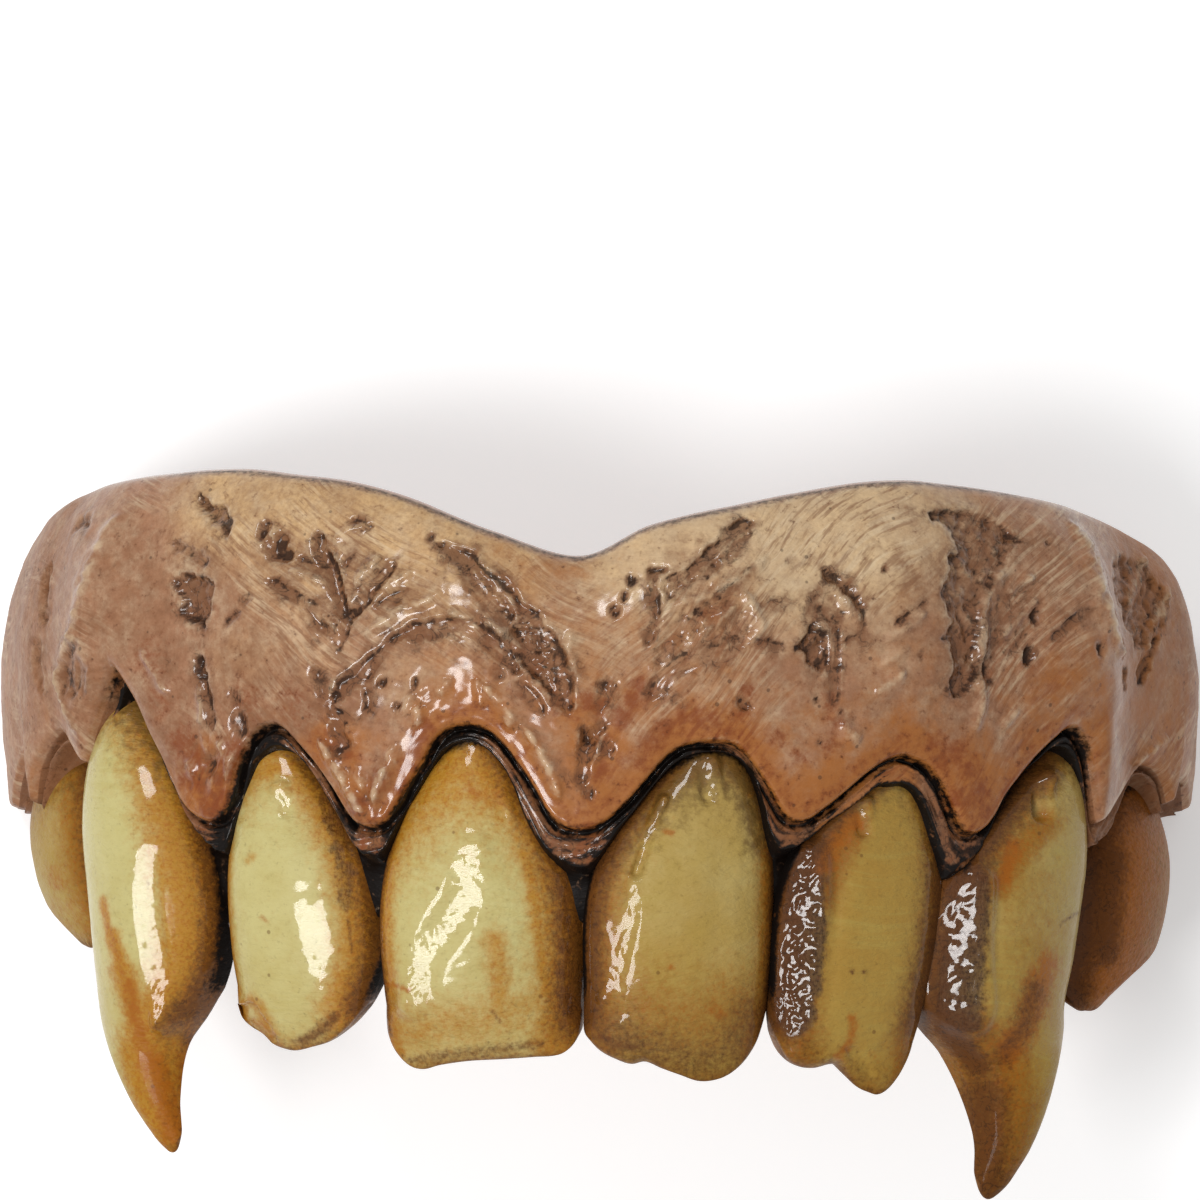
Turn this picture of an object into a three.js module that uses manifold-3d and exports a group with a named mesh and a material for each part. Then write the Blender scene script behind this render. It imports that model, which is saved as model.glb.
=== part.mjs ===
// A slip-on set of monster teeth for the upper jaw: a costume denture cast in one piece.
// A U-shaped tray goes over the wearer's own upper teeth. Its front wall carries a thick gum with
// a scalloped lower edge, and eight long teeth stand in the gum, the two canines drawn out to fangs.
//
// It lies on the ground ends of the tray with the teeth looking up. +X runs to the right of the
// set as it is looked at, +Y from the fang tips to the top of the gum, and +Z out through the lips.
// Units are millimetres.

import * as THREE from "three";
import { mergeVertices } from "three/addons/utils/BufferGeometryUtils.js";
import Module from "manifold-3d";

const wasm = await Module();
wasm.setup();

// The arch, half an ellipse, that the faces of the teeth stand on.
const ARCH_HALF_WIDTH = 29.5;
const ARCH_DEPTH = 26.5;

// The tray behind the teeth. The channel between its walls takes the wearer's teeth.
const WALL_BACK = -1.9;
const CHANNEL_WIDTH = 8;
const INNER_WALL = 1.7;
const FLOOR_HEIGHT = -3.2;
const TRAY_UNDERSIDE = -4.8;
const INNER_WALL_HEIGHT = 3.5;
const ROUNDING = 0.7;

// The gum: how far it stands out from the arch at its lower edge, how much further half way up
// and at the sides of the jaw, and how far it leans back again at the rim.
const GUM_LIP = 0.8;
const GUM_BELLY = 0.45;
const SIDE_SWELL = 0.75;
const SIDE_START = 30;
const RIM_LEAN = 1.3;
const RIM_LEAN_SHARPNESS = 7;
const RIM_EDGE = 0.5;
const RIM_THICKNESS = 0.9;
const LIP_OVERHANG = 0.4;
const LIP_BACK = -1.1;
const GUM_MEAN_EDGE = 2;

// Where a root starts to swell the gum and where it ends, as shares of half a wave up its face.
const ROOT_START = 0.15;
const ROOT_END = 0.9;

// Height of the gum's rim against the distance along the arch from its middle.
const RIM = [
  [-44.1, 11],
  [-37, 14.7],
  [-30, 16.6],
  [-18, 17],
  [-11, 15.9],
  [-5, 13.7],
  [-1, 12.6],
  [2.5, 14],
  [9, 15.5],
  [15, 16.3],
  [24, 15.7],
  [34, 14.2],
  [44.1, 11],
];

// The lowest points of the gum's scalloped edge, between the teeth and at the two ends of the set.
const PAPILLAE = [
  [-38, 1.2],
  [-28.2, 4],
  [-19.3, -0.3],
  [-10.6, -0.1],
  [-0.7, -1.4],
  [8.6, -0.7],
  [17.4, -1.7],
  [26.2, -1],
  [39, 1.1],
];

// Furrows and pits worked into the gum: depth, half width, and then the line that each follows,
// as distances along the arch and heights.
const FURROWS = [
  [0.5, 0.8, [-11.6, 6], [-10.2, 9], [-7.3, 10.5], [-4.6, 9.2], [-2.8, 6.6], [-1.2, 5.6]],
  [0.3, 0.7, [-10.2, 4.4], [-8.6, 7.2], [-6.4, 8], [-4, 6.6], [-2.2, 3.6]],
  [0.5, 0.8, [-12.2, 5], [-12.4, 8.6], [-15.4, 12.6]],
  [0.45, 0.8, [-12, 8.8], [-10.6, 11.2], [-8.8, 12.8]],
  [0.35, 1, [-19.8, 14.8], [-18.8, 13.4]],
  [0.4, 0.8, [-19.9, 11.6], [-19.9, 9.6], [-19.2, 7.4]],
  [0.35, 0.6, [-0.3, 2.6], [-0.2, 4.4], [-1, 7]],
  [0.5, 0.8, [2.4, 8.6], [2.7, 10.8], [6.9, 14]],
  [0.3, 0.8, [5.4, 9.6], [8.6, 11.6]],
  [0.45, 0.9, [10.2, 6.4], [10, 9], [11.9, 11.4]],
  [0.4, 1.1, [15.9, 14.2], [18.6, 11.8], [18, 7.4]],
  [0.35, 0.9, [29.6, 13.2], [29.4, 9.4], [29.9, 6]],
  [0.3, 0.9, [-31, 13.4], [-30.6, 9]],
  [0.3, 1.1, [33.6, 11.6], [35.4, 8]],
  [0.3, 1.1, [-35.2, 11.8], [-37, 8]],
];

// The teeth from left to right. apex is the top of a tooth's scallop in the gum, as a distance along
// the arch and a height, and arch is how square that scallop is to its left and right. root is how
// far the root swells the gum. Each line of outline holds a height and the left and right side of
// the tooth there, from the neck inside the gum down.
const TEETH = [
  // Left premolar
  {
    kind: "premolar",
    apex: [-30.6, 4.8],
    arch: [2, 2],
    root: 0.45,
    outline: [
      [5.8, -34.6, -31.4],
      [3, -37.8, -29.6],
      [0, -39.2, -29],
      [-2.2, -38.8, -29],
      [-3.6, -36.6, -29],
      [-4.8, -34.2, -29.2],
      [-5.6, -32.4, -30],
    ],
  },
  // Left fang
  {
    kind: "fang",
    apex: [-25.2, 7.3],
    arch: [2.4, 1.4],
    root: 1.15,
    outline: [
      [8.2, -26.6, -24.2],
      [6.5, -27.2, -23.2],
      [3, -28.3, -20.8],
      [0, -28.8, -19.3],
      [-3.5, -28.9, -18.4],
      [-6.4, -28.7, -19],
      [-8.6, -28.2, -20.6],
      [-10.2, -27.3, -22],
      [-12.6, -25.6, -22.3],
      [-14.3, -24.1, -22.3],
      [-15.2, -23.1, -22.7],
    ],
  },
  // Left lateral incisor
  {
    kind: "incisor",
    apex: [-15.5, 4.5],
    arch: [1.9, 1.6],
    root: 0.45,
    outline: [
      [5.6, -17, -14.8],
      [4.2, -17.3, -14.4],
      [1.5, -18.3, -12.6],
      [-1.4, -18.8, -11.2],
      [-5.4, -19, -10.7],
      [-7.6, -18.8, -11],
      [-8.8, -18.4, -12.7],
      [-10, -16.3, -14.2],
    ],
  },
  // Left central incisor
  {
    kind: "incisor",
    apex: [-5.9, 4.3],
    arch: [1.7, 1.7],
    root: 0.3,
    outline: [
      [5.4, -7.4, -4.6],
      [3.9, -7.9, -4],
      [0.5, -9.7, -2.1],
      [-3, -10.5, -0.7],
      [-7.7, -10.5, -0.7],
      [-9.3, -10.5, -1],
      [-10.2, -10.2, -1.9],
      [-10.8, -9.5, -7],
    ],
  },
  // Right central incisor
  {
    kind: "incisor",
    apex: [5.2, 3.8],
    arch: [1.7, 2.3],
    root: 0.3,
    outline: [
      [5.2, 3.9, 6.4],
      [3.6, 3.1, 7.2],
      [0, 0.4, 8.4],
      [-3, -0.7, 8.6],
      [-7.7, -0.8, 8.4],
      [-9.4, -0.9, 7.7],
      [-10.4, 0, 7.1],
      [-11.2, 3.8, 6],
    ],
  },
  // Right lateral incisor
  {
    kind: "incisor",
    apex: [14.2, 3.2],
    arch: [1.6, 1.8],
    root: 0.45,
    outline: [
      [4.4, 13.2, 15.4],
      [3, 12.5, 16.2],
      [0, 9.6, 17.1],
      [-3.2, 8.4, 17.2],
      [-7.8, 8.2, 16.4],
      [-10, 8.5, 15.6],
      [-10.8, 10, 15.3],
      [-11.4, 12.2, 14.9],
      [-12, 13.2, 14.2],
    ],
  },
  // Right fang
  {
    kind: "fang",
    apex: [23.7, 4.4],
    arch: [1.4, 2.4],
    root: 1.15,
    outline: [
      [5.6, 23, 25.6],
      [4, 22.2, 26],
      [0.5, 18.6, 26.6],
      [-2.4, 16.5, 26.8],
      [-6, 15.7, 26.4],
      [-8, 15.7, 25.8],
      [-9.4, 17.3, 25.6],
      [-10.8, 18.8, 25],
      [-14, 19.7, 23.1],
      [-16.4, 19.7, 21.2],
      [-17.2, 19.8, 20.4],
    ],
  },
  // Right premolar
  {
    kind: "premolar",
    apex: [34.2, 2.8],
    arch: [2, 2.2],
    root: 0.45,
    outline: [
      [4, 32.6, 35.6],
      [1, 28.6, 38.6],
      [-2, 27.2, 39.8],
      [-4.2, 26.8, 39],
      [-6, 26.5, 35.8],
      [-7.4, 26.4, 32.4],
      [-8.6, 26.9, 29.8],
    ],
  },
];

// Each kind of tooth: how far its face stands out from the arch and how thick it is under the
// tray, both against the share of its height above the tip, and how square it is in section.
const KINDS = {
  incisor: {
    face: [
      [0, -0.7],
      [0.18, 0.1],
      [0.5, 0.65],
      [0.8, 0.45],
      [1, -0.3],
    ],
    thickness: [
      [0, 0.5],
      [0.08, 1.7],
      [0.4, 4],
      [1, 4],
    ],
    squareness: 2.7,
    rootWidth: 2.6,
  },
  fang: {
    face: [
      [0, -0.5],
      [0.25, 0.9],
      [0.55, 1.7],
      [0.8, 1.1],
      [1, -0.3],
    ],
    thickness: [
      [0, 0.6],
      [0.08, 1.6],
      [0.45, 5],
      [1, 5],
    ],
    squareness: 2.2,
    rootWidth: 3,
  },
  premolar: {
    face: [
      [0, -0.6],
      [0.3, 0.7],
      [0.6, 1],
      [1, -0.3],
    ],
    thickness: [
      [0, 1],
      [0.2, 4],
      [1, 5],
    ],
    squareness: 2.4,
    rootWidth: 2.6,
  },
};

// Where a tooth's back lies inside the tray, and how far behind its face it is widest.
const TOOTH_BACK = -1.4;
const TOOTH_SHOULDER = 1.3;

// How finely the surfaces are cut.
const ARCH_STEPS = 2000;
const TOOTH_SIDES = 20;
const TOOTH_ROWS = 13;
const GUM_ROWS = 11;
const STATION_SPACING = 0.9;
const MERGE_DISTANCE = 1e-3;
const FLATNESS = 0.02;

// The value at x of a smooth curve through the points of a table, sorted by its first column.
function curve(table, x, column = 1) {
  const up = table[0][0] < table[table.length - 1][0];
  const rows = up ? table : [...table].reverse();
  const last = rows.length - 1;
  if (x <= rows[0][0]) return rows[0][column];
  if (x >= rows[last][0]) return rows[last][column];
  const i = rows.findIndex((row) => row[0] > x) - 1;
  const slope = (k) => {
    const before = Math.max(k - 1, 0);
    const after = Math.min(k + 1, last);
    return (rows[after][column] - rows[before][column]) / (rows[after][0] - rows[before][0]);
  };
  const span = rows[i + 1][0] - rows[i][0];
  const t = (x - rows[i][0]) / span;
  const rise = rows[i + 1][column] - rows[i][column];
  const bend = (1 - t) * (slope(i) * span - rise) - t * (slope(i + 1) * span - rise);
  return rows[i][column] + t * rise + t * (1 - t) * bend;
}

// The arch seen from below the teeth, from its left end to its right one.
const arch = new THREE.EllipseCurve(0, 0, ARCH_HALF_WIDTH, ARCH_DEPTH, Math.PI, 0, true);
arch.arcLengthDivisions = ARCH_STEPS;
const ARCH_END = arch.getLength() / 2;

// A point that lies along the arch, stands out from it, and is at a height.
function place(along, out, height) {
  const length = THREE.MathUtils.clamp((along + ARCH_END) / (2 * ARCH_END), 0, 1);
  const angle = Math.PI * (1 - arch.getUtoTmapping(length));
  const cos = Math.cos(angle);
  const sin = Math.sin(angle);
  const outward = new THREE.Vector2(cos / ARCH_HALF_WIDTH, sin / ARCH_DEPTH).normalize();
  return new THREE.Vector3(
    ARCH_HALF_WIDTH * cos + out * outward.x,
    height,
    ARCH_DEPTH * sin + out * outward.y,
  );
}

// Height of the gum's lower edge: an arc over each tooth, down to a point between two teeth.
function gumEdge(along) {
  const i = PAPILLAE.findIndex(([at]) => at > along) - 1;
  if (i < 0) return along < 0 ? PAPILLAE[0][1] : PAPILLAE[PAPILLAE.length - 1][1];
  const { apex, arch: squareness } = TEETH[i];
  const side = along < apex[0] ? 0 : 1;
  const foot = PAPILLAE[i + side];
  const share = (along - apex[0]) / (foot[0] - apex[0]);
  return apex[1] - (apex[1] - foot[1]) * share ** squareness[side];
}

// How deep the furrows are at a place on the gum.
function furrowDepth(along, height) {
  const at = new THREE.Vector3(along, height, 0);
  const nearest = new THREE.Vector3();
  let deepest = 0;
  for (const [depth, width, ...line] of FURROWS) {
    for (let i = 1; i < line.length; i++) {
      const from = new THREE.Vector3(...line[i - 1], 0);
      const to = new THREE.Vector3(...line[i], 0);
      new THREE.Line3(from, to).closestPointToPoint(at, true, nearest);
      const reach = nearest.distanceTo(at) / width;
      deepest = Math.max(deepest, depth * Math.exp(-reach * reach));
    }
  }
  return deepest;
}

// How far the gum's face stands out at a share of its height, swollen over each root.
function gumFace(along, share, height) {
  let out = GUM_LIP + GUM_BELLY * Math.sin(Math.PI * share);
  out += SIDE_SWELL * Math.min(1, Math.abs(along) / SIDE_START);
  const wave = Math.sin(Math.PI * THREE.MathUtils.lerp(ROOT_START, ROOT_END, share));
  for (const { apex, root, kind } of TEETH) {
    const reach = (along - apex[0]) / KINDS[kind].rootWidth;
    out += root * Math.exp(-reach * reach) * wave;
  }
  return out - RIM_LEAN * share ** RIM_LEAN_SHARPNESS - furrowDepth(along, height);
}

// The closed outline of the tray and gum across the arch, as [out, height] pairs.
function traySection(along) {
  const edge = gumEdge(along);
  const rim = curve(RIM, along);
  const face = [];
  for (let row = 1; row <= GUM_ROWS; row++) {
    const share = (row - 0.5) / GUM_ROWS;
    const foot = THREE.MathUtils.lerp(GUM_MEAN_EDGE, edge, (1 - share) ** 2);
    const height = foot + (rim - foot) * share;
    face.push([gumFace(along, share, height), height]);
  }
  const shoulder = gumFace(along, 1, rim) - RIM_EDGE;
  const innerFace = WALL_BACK - CHANNEL_WIDTH;
  const back = innerFace - INNER_WALL;
  return [
    [TOOTH_BACK, TRAY_UNDERSIDE],
    [LIP_BACK, edge - LIP_OVERHANG],
    [GUM_LIP - LIP_OVERHANG, edge],
    ...face,
    [shoulder, rim],
    [shoulder - RIM_THICKNESS, rim],
    [WALL_BACK, rim - ROUNDING],
    [WALL_BACK, (rim + FLOOR_HEIGHT) / 2],
    [WALL_BACK, FLOOR_HEIGHT],
    [innerFace, FLOOR_HEIGHT],
    [innerFace, INNER_WALL_HEIGHT - ROUNDING],
    [(innerFace + back) / 2, INNER_WALL_HEIGHT],
    [back, INNER_WALL_HEIGHT - ROUNDING],
    [back, TRAY_UNDERSIDE + ROUNDING],
    [back + ROUNDING, TRAY_UNDERSIDE],
  ];
}

// Positions along the arch where the tray is cut across, with one at each papilla and each apex.
function stations() {
  const feet = PAPILLAE.map(([at]) => at);
  const apexes = TEETH.map(({ apex }) => apex[0]);
  const marks = [-ARCH_END, ...feet, ...apexes, ARCH_END].sort((a, b) => a - b);
  const found = [-ARCH_END];
  for (let i = 1; i < marks.length; i++) {
    const steps = Math.max(1, Math.round((marks[i] - marks[i - 1]) / STATION_SPACING));
    for (let k = 1; k <= steps; k++) {
      found.push(THREE.MathUtils.lerp(marks[i - 1], marks[i], k / steps));
    }
  }
  return found;
}

// A closed skin over rings of points. faces gives the triangles that close the first and last ring.
function skin(rings, faces) {
  const sides = rings[0].length;
  const index = [];
  for (let r = 0; r + 1 < rings.length; r++) {
    for (let k = 0; k < sides; k++) {
      const a = r * sides + k;
      const b = r * sides + ((k + 1) % sides);
      index.push(a, b, b + sides, a, b + sides, a + sides);
    }
  }
  const end = (rings.length - 1) * sides;
  for (const [a, b, c] of faces) index.push(a, c, b, end + a, end + b, end + c);
  const geometry = new THREE.BufferGeometry().setFromPoints(rings.flat());
  geometry.setIndex(index);
  return geometry;
}

// Turns a closed geometry into a solid, the right way out and without collapsed triangles.
function solid(geometry) {
  const merged = mergeVertices(geometry, MERGE_DISTANCE);
  const corners = [];
  const all = merged.index.array;
  for (let i = 0; i < all.length; i += 3) {
    const [a, b, c] = [all[i], all[i + 1], all[i + 2]];
    if (a !== b && b !== c && c !== a) corners.push(a, b, c);
  }
  const make = (triangles) =>
    new wasm.Manifold(
      new wasm.Mesh({
        numProp: 3,
        vertProperties: merged.attributes.position.array,
        triVerts: new Uint32Array(triangles),
      }),
    );
  const made = make(corners);
  return made.volume() > 0 ? made : make(corners.reverse());
}

function tray() {
  const rings = stations().map((along) =>
    traySection(along).map(([out, height]) => place(along, out, height)),
  );
  const outline = traySection(-ARCH_END).map(([out, height]) => new THREE.Vector2(out, height));
  return solid(skin(rings, THREE.ShapeUtils.triangulateShape(outline, [])));
}

// One ring of a tooth: a rounded square whose front is its face and whose back is in the tray.
function toothRing(tooth, height) {
  const { face, thickness, squareness } = KINDS[tooth.kind];
  const top = tooth.outline[0][0];
  const tip = tooth.outline[tooth.outline.length - 1][0];
  const share = (height - tip) / (top - tip);
  const left = curve(tooth.outline, height, 1);
  const right = curve(tooth.outline, height, 2);
  const front = curve(face, share);
  const free = front - curve(thickness, share);
  const back = height > TRAY_UNDERSIDE + LIP_OVERHANG ? TOOTH_BACK : free;
  const middle = Math.max(front - TOOTH_SHOULDER, (front + back) / 2);
  const ring = [];
  for (let k = 0; k < TOOTH_SIDES; k++) {
    const angle = (2 * Math.PI * k) / TOOTH_SIDES;
    const across = Math.sign(Math.cos(angle)) * Math.abs(Math.cos(angle)) ** (2 / squareness);
    const depth = Math.sign(Math.sin(angle)) * Math.abs(Math.sin(angle)) ** (2 / squareness);
    const out = middle + depth * (depth > 0 ? front - middle : middle - back);
    ring.push(place((left + right) / 2 + (across * (right - left)) / 2, out, height));
  }
  return ring;
}

function toothSolid(tooth) {
  const top = tooth.outline[0][0];
  const tip = tooth.outline[tooth.outline.length - 1][0];
  const rings = [];
  for (let row = 0; row <= TOOTH_ROWS; row++) {
    const share = Math.sin((Math.PI / 2) * (row / TOOTH_ROWS));
    rings.push(toothRing(tooth, top + (tip - top) * share));
  }
  const fan = [];
  for (let k = 1; k + 1 < TOOTH_SIDES; k++) fan.push([0, k, k + 1]);
  return solid(skin(rings, fan));
}

// Joins the tray and the teeth into the one casting.
function casting() {
  let whole = tray();
  for (const tooth of TEETH) whole = whole.add(toothSolid(tooth));
  whole = whole.simplify(FLATNESS);
  const mesh = whole.getMesh();
  const points = new Float32Array(mesh.numVert * 3);
  for (let i = 0; i < mesh.numVert; i++) {
    const from = i * mesh.numProp;
    points.set(mesh.vertProperties.subarray(from, from + 3), i * 3);
  }
  const geometry = new THREE.BufferGeometry();
  geometry.setAttribute("position", new THREE.BufferAttribute(points, 3));
  geometry.setIndex(new THREE.BufferAttribute(mesh.triVerts, 1));
  return geometry;
}

const resin = new THREE.MeshStandardMaterial({
  color: new THREE.Color(0.62, 0.44, 0.32),
  roughness: 0.35,
  metalness: 0,
});

const denture = new THREE.Mesh(casting(), resin);
denture.name = "denture";
const fangs = new THREE.Group();
fangs.add(denture);

export default fangs;
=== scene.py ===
# %% [markdown]
# A costume fang denture. The real thing is a slip-on upper jaw, about 63 mm wide: a U-shaped tray
# cast in resin, with a thick gum on its front wall and eight teeth, two of which are drawn out to
# fangs. It is painted by hand: a fleshy base coat, dark wash in every hollow, ochre and brown round
# the teeth and a clear gloss varnish over nearly everything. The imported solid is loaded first,
# because it fixes the size and the place of all that follows. Python works in millimetres here, and
# MM turns them into Blender's metres.

# %% Load the frame
import math

import bmesh
import bpy
import numpy as np
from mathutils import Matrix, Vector, noise


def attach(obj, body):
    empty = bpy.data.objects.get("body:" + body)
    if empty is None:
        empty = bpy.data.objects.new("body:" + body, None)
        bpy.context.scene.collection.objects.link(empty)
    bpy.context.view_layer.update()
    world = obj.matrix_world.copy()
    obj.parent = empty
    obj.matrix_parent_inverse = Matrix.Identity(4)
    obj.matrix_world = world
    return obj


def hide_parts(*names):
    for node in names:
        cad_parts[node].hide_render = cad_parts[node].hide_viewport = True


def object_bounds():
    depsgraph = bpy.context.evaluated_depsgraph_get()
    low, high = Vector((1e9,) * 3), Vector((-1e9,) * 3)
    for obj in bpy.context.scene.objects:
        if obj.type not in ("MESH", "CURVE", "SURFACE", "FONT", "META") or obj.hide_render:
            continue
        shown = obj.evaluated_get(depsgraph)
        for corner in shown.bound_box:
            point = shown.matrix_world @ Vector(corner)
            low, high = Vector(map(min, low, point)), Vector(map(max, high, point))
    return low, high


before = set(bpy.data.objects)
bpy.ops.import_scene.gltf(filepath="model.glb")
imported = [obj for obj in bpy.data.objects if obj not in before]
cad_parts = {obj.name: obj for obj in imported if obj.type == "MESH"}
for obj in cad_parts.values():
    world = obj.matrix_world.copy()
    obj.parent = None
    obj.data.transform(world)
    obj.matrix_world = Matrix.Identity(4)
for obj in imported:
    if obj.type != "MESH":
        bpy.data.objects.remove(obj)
cad_low, cad_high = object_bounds()
MM = 0.001
print("solid in mm:", [round((b - a) / MM, 2) for a, b in zip(cad_low, cad_high)])

# %% [markdown]
# The object lies on the ground ends of its tray with the teeth looking up, so the camera hangs over
# it and looks straight down. A long lens from a hand's length away gives the mild perspective of a
# close-up. The picture is a square of 1200 pixels, and the lens is shifted rather than tilted, since
# the object fills only the lower part of the picture. Marks on the surface are given further down as
# pixels of that picture, the way one would draw them on tracing paper laid over it.

# %% Camera
# millimetres, except the picture's side, the focal length and the camera's axis, which are pixels
PICTURE = 1200
CAMERA_DISTANCE = 178
FOCAL_PIXELS = 3338
AXIS_X, AXIS_Y = 600, 831
SENSOR = 36
NEAREST_SEEN = 10

camera_data = bpy.data.cameras.new("camera")
camera_data.sensor_width = SENSOR
camera_data.lens = FOCAL_PIXELS / PICTURE * SENSOR
camera_data.shift_y = (AXIS_Y - PICTURE / 2) / PICTURE
camera_data.clip_start = NEAREST_SEEN * MM
camera = bpy.data.objects.new("camera", camera_data)
camera.location = (0, 0, CAMERA_DISTANCE * MM)
bpy.context.scene.collection.objects.link(camera)
bpy.context.scene.camera = camera
print("lens:", round(camera_data.lens, 1), "mm, shift:", camera_data.shift_y)

# %% [markdown]
# Everything on a jaw follows the dental arch, here half of an ellipse. So each point of the model is
# worked out in three numbers that a technician would use: how far along the arch it is from the
# middle, how far it stands out from the arch, and its height. One function turns them into a place,
# and a smooth curve through a few measured points gives every outline.

# %% The dental arch
ARCH_HALF_WIDTH = 29.5
ARCH_DEPTH = 26.5
ARCH_STEPS = 4000

turns = np.linspace(math.pi, 0, ARCH_STEPS + 1)
steps = np.hypot(np.diff(ARCH_HALF_WIDTH * np.cos(turns)), np.diff(ARCH_DEPTH * np.sin(turns)))
lengths = np.concatenate([[0], np.cumsum(steps)])
ARCH_END = lengths[-1] / 2


def place(along, out, height):
    """Points in millimetres from distances along the arch, out from it, and heights."""
    turn = np.interp(along + ARCH_END, lengths, turns)
    cos, sin = np.cos(turn), np.sin(turn)
    normal = np.stack([cos / ARCH_HALF_WIDTH, sin / ARCH_DEPTH])
    normal = normal / np.hypot(*normal)
    x = ARCH_HALF_WIDTH * cos + out * normal[0]
    z = ARCH_DEPTH * sin + out * normal[1]
    return np.stack(np.broadcast_arrays(x, height, z), -1)


def curve(points, x):
    """The height at x of a smooth curve through (x, height) points."""
    px, py = np.array(sorted(map(tuple, points)), float).T
    last = len(px) - 1
    before, after = np.maximum(np.arange(last + 1) - 1, 0), np.minimum(np.arange(last + 1) + 1, last)
    slope = (py[after] - py[before]) / (px[after] - px[before])
    i = np.clip(np.searchsorted(px, x, side="right") - 1, 0, last - 1)
    span, rise = px[i + 1] - px[i], py[i + 1] - py[i]
    t = np.clip((x - px[i]) / span, 0, 1)
    bend = (1 - t) * (slope[i] * span - rise) - t * (slope[i + 1] * span - rise)
    return py[i] + t * rise + t * (1 - t) * bend


def ramp(x, start, end):
    """A smooth step from 0 at start to 1 at end."""
    t = np.clip((x - start) / (end - start), 0, 1)
    return t * t * (3 - 2 * t)


print("arch length:", round(2 * ARCH_END, 1), "mm")

# %% [markdown]
# The proportions of the gum and the teeth follow the named values that the solid is made from: the
# rim, the points of gum between two teeth, the outline of each tooth and the section of each kind of
# tooth. What is new here is the biting edge of every tooth, followed closely enough to show its
# chips and its worn corners.

# %% Proportions of the gum
# Distances out from the arch, heights, widths and radii, all in millimetres
WALL_BACK = -1.9
CHANNEL_WIDTH = 8
INNER_WALL = 1.7
FLOOR_HEIGHT = -3.2
TRAY_UNDERSIDE = -4.8
INNER_WALL_HEIGHT = 3.5
ROUNDING = 0.7
GUM_LIP = 0.8
GUM_BELLY = 0.45
SIDE_SWELL = 0.75
SIDE_START = 30
GUM_MEAN_EDGE = 2
RIM_LEAN = 1.3
# how suddenly the rim leans back, as a power
RIM_LEAN_SHARPNESS = 7
# the swelling over a root follows a half wave, from this share of it to that one
ROOT_START, ROOT_END = 0.15, 0.9

# top edge of the gum as (along, height), and then the points of gum between two teeth
RIM = [
    (-44.1, 11), (-37, 14.7), (-30, 16.6), (-18, 17), (-11, 15.9), (-5, 13.7), (-1, 12.6),
    (2.5, 14), (9, 15.5), (15, 16.3), (24, 15.7), (34, 14.2), (44.1, 11),
]
PAPILLAE = [
    (-38, 1.2), (-28.2, 4), (-19.3, -0.3), (-10.6, -0.1), (-0.7, -1.4), (8.6, -0.7), (17.4, -1.7),
    (26.2, -1), (39, 1.1),
]
print("papillae:", len(PAPILLAE))

# %% Proportions of the teeth
# face: how far the front stands out at a share of the height, from tip to neck. thickness: how thick
# the tooth is there. root_width: how wide its root swells the gum.
KINDS = {
    "incisor": {
        "face": [(0, -0.7), (0.18, 0.1), (0.5, 0.65), (0.8, 0.45), (1, -0.3)],
        "thickness": [(0, 0.5), (0.08, 1.7), (0.4, 4), (1, 4)],
        "root_width": 2.6,
    },
    "fang": {
        "face": [(0, -0.5), (0.1, 0.4), (0.27, 1), (0.5, 1.45), (0.73, 1.8), (0.88, 1.1), (1, -0.9)],
        "thickness": [(0, 0.6), (0.08, 1.6), (0.45, 5), (1, 5)],
        "root_width": 3,
    },
    "premolar": {
        "face": [(0, -0.6), (0.3, 0.7), (0.6, 1), (1, -0.3)],
        "thickness": [(0, 1), (0.2, 4), (1, 5)],
        "root_width": 2.6,
    },
}
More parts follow.
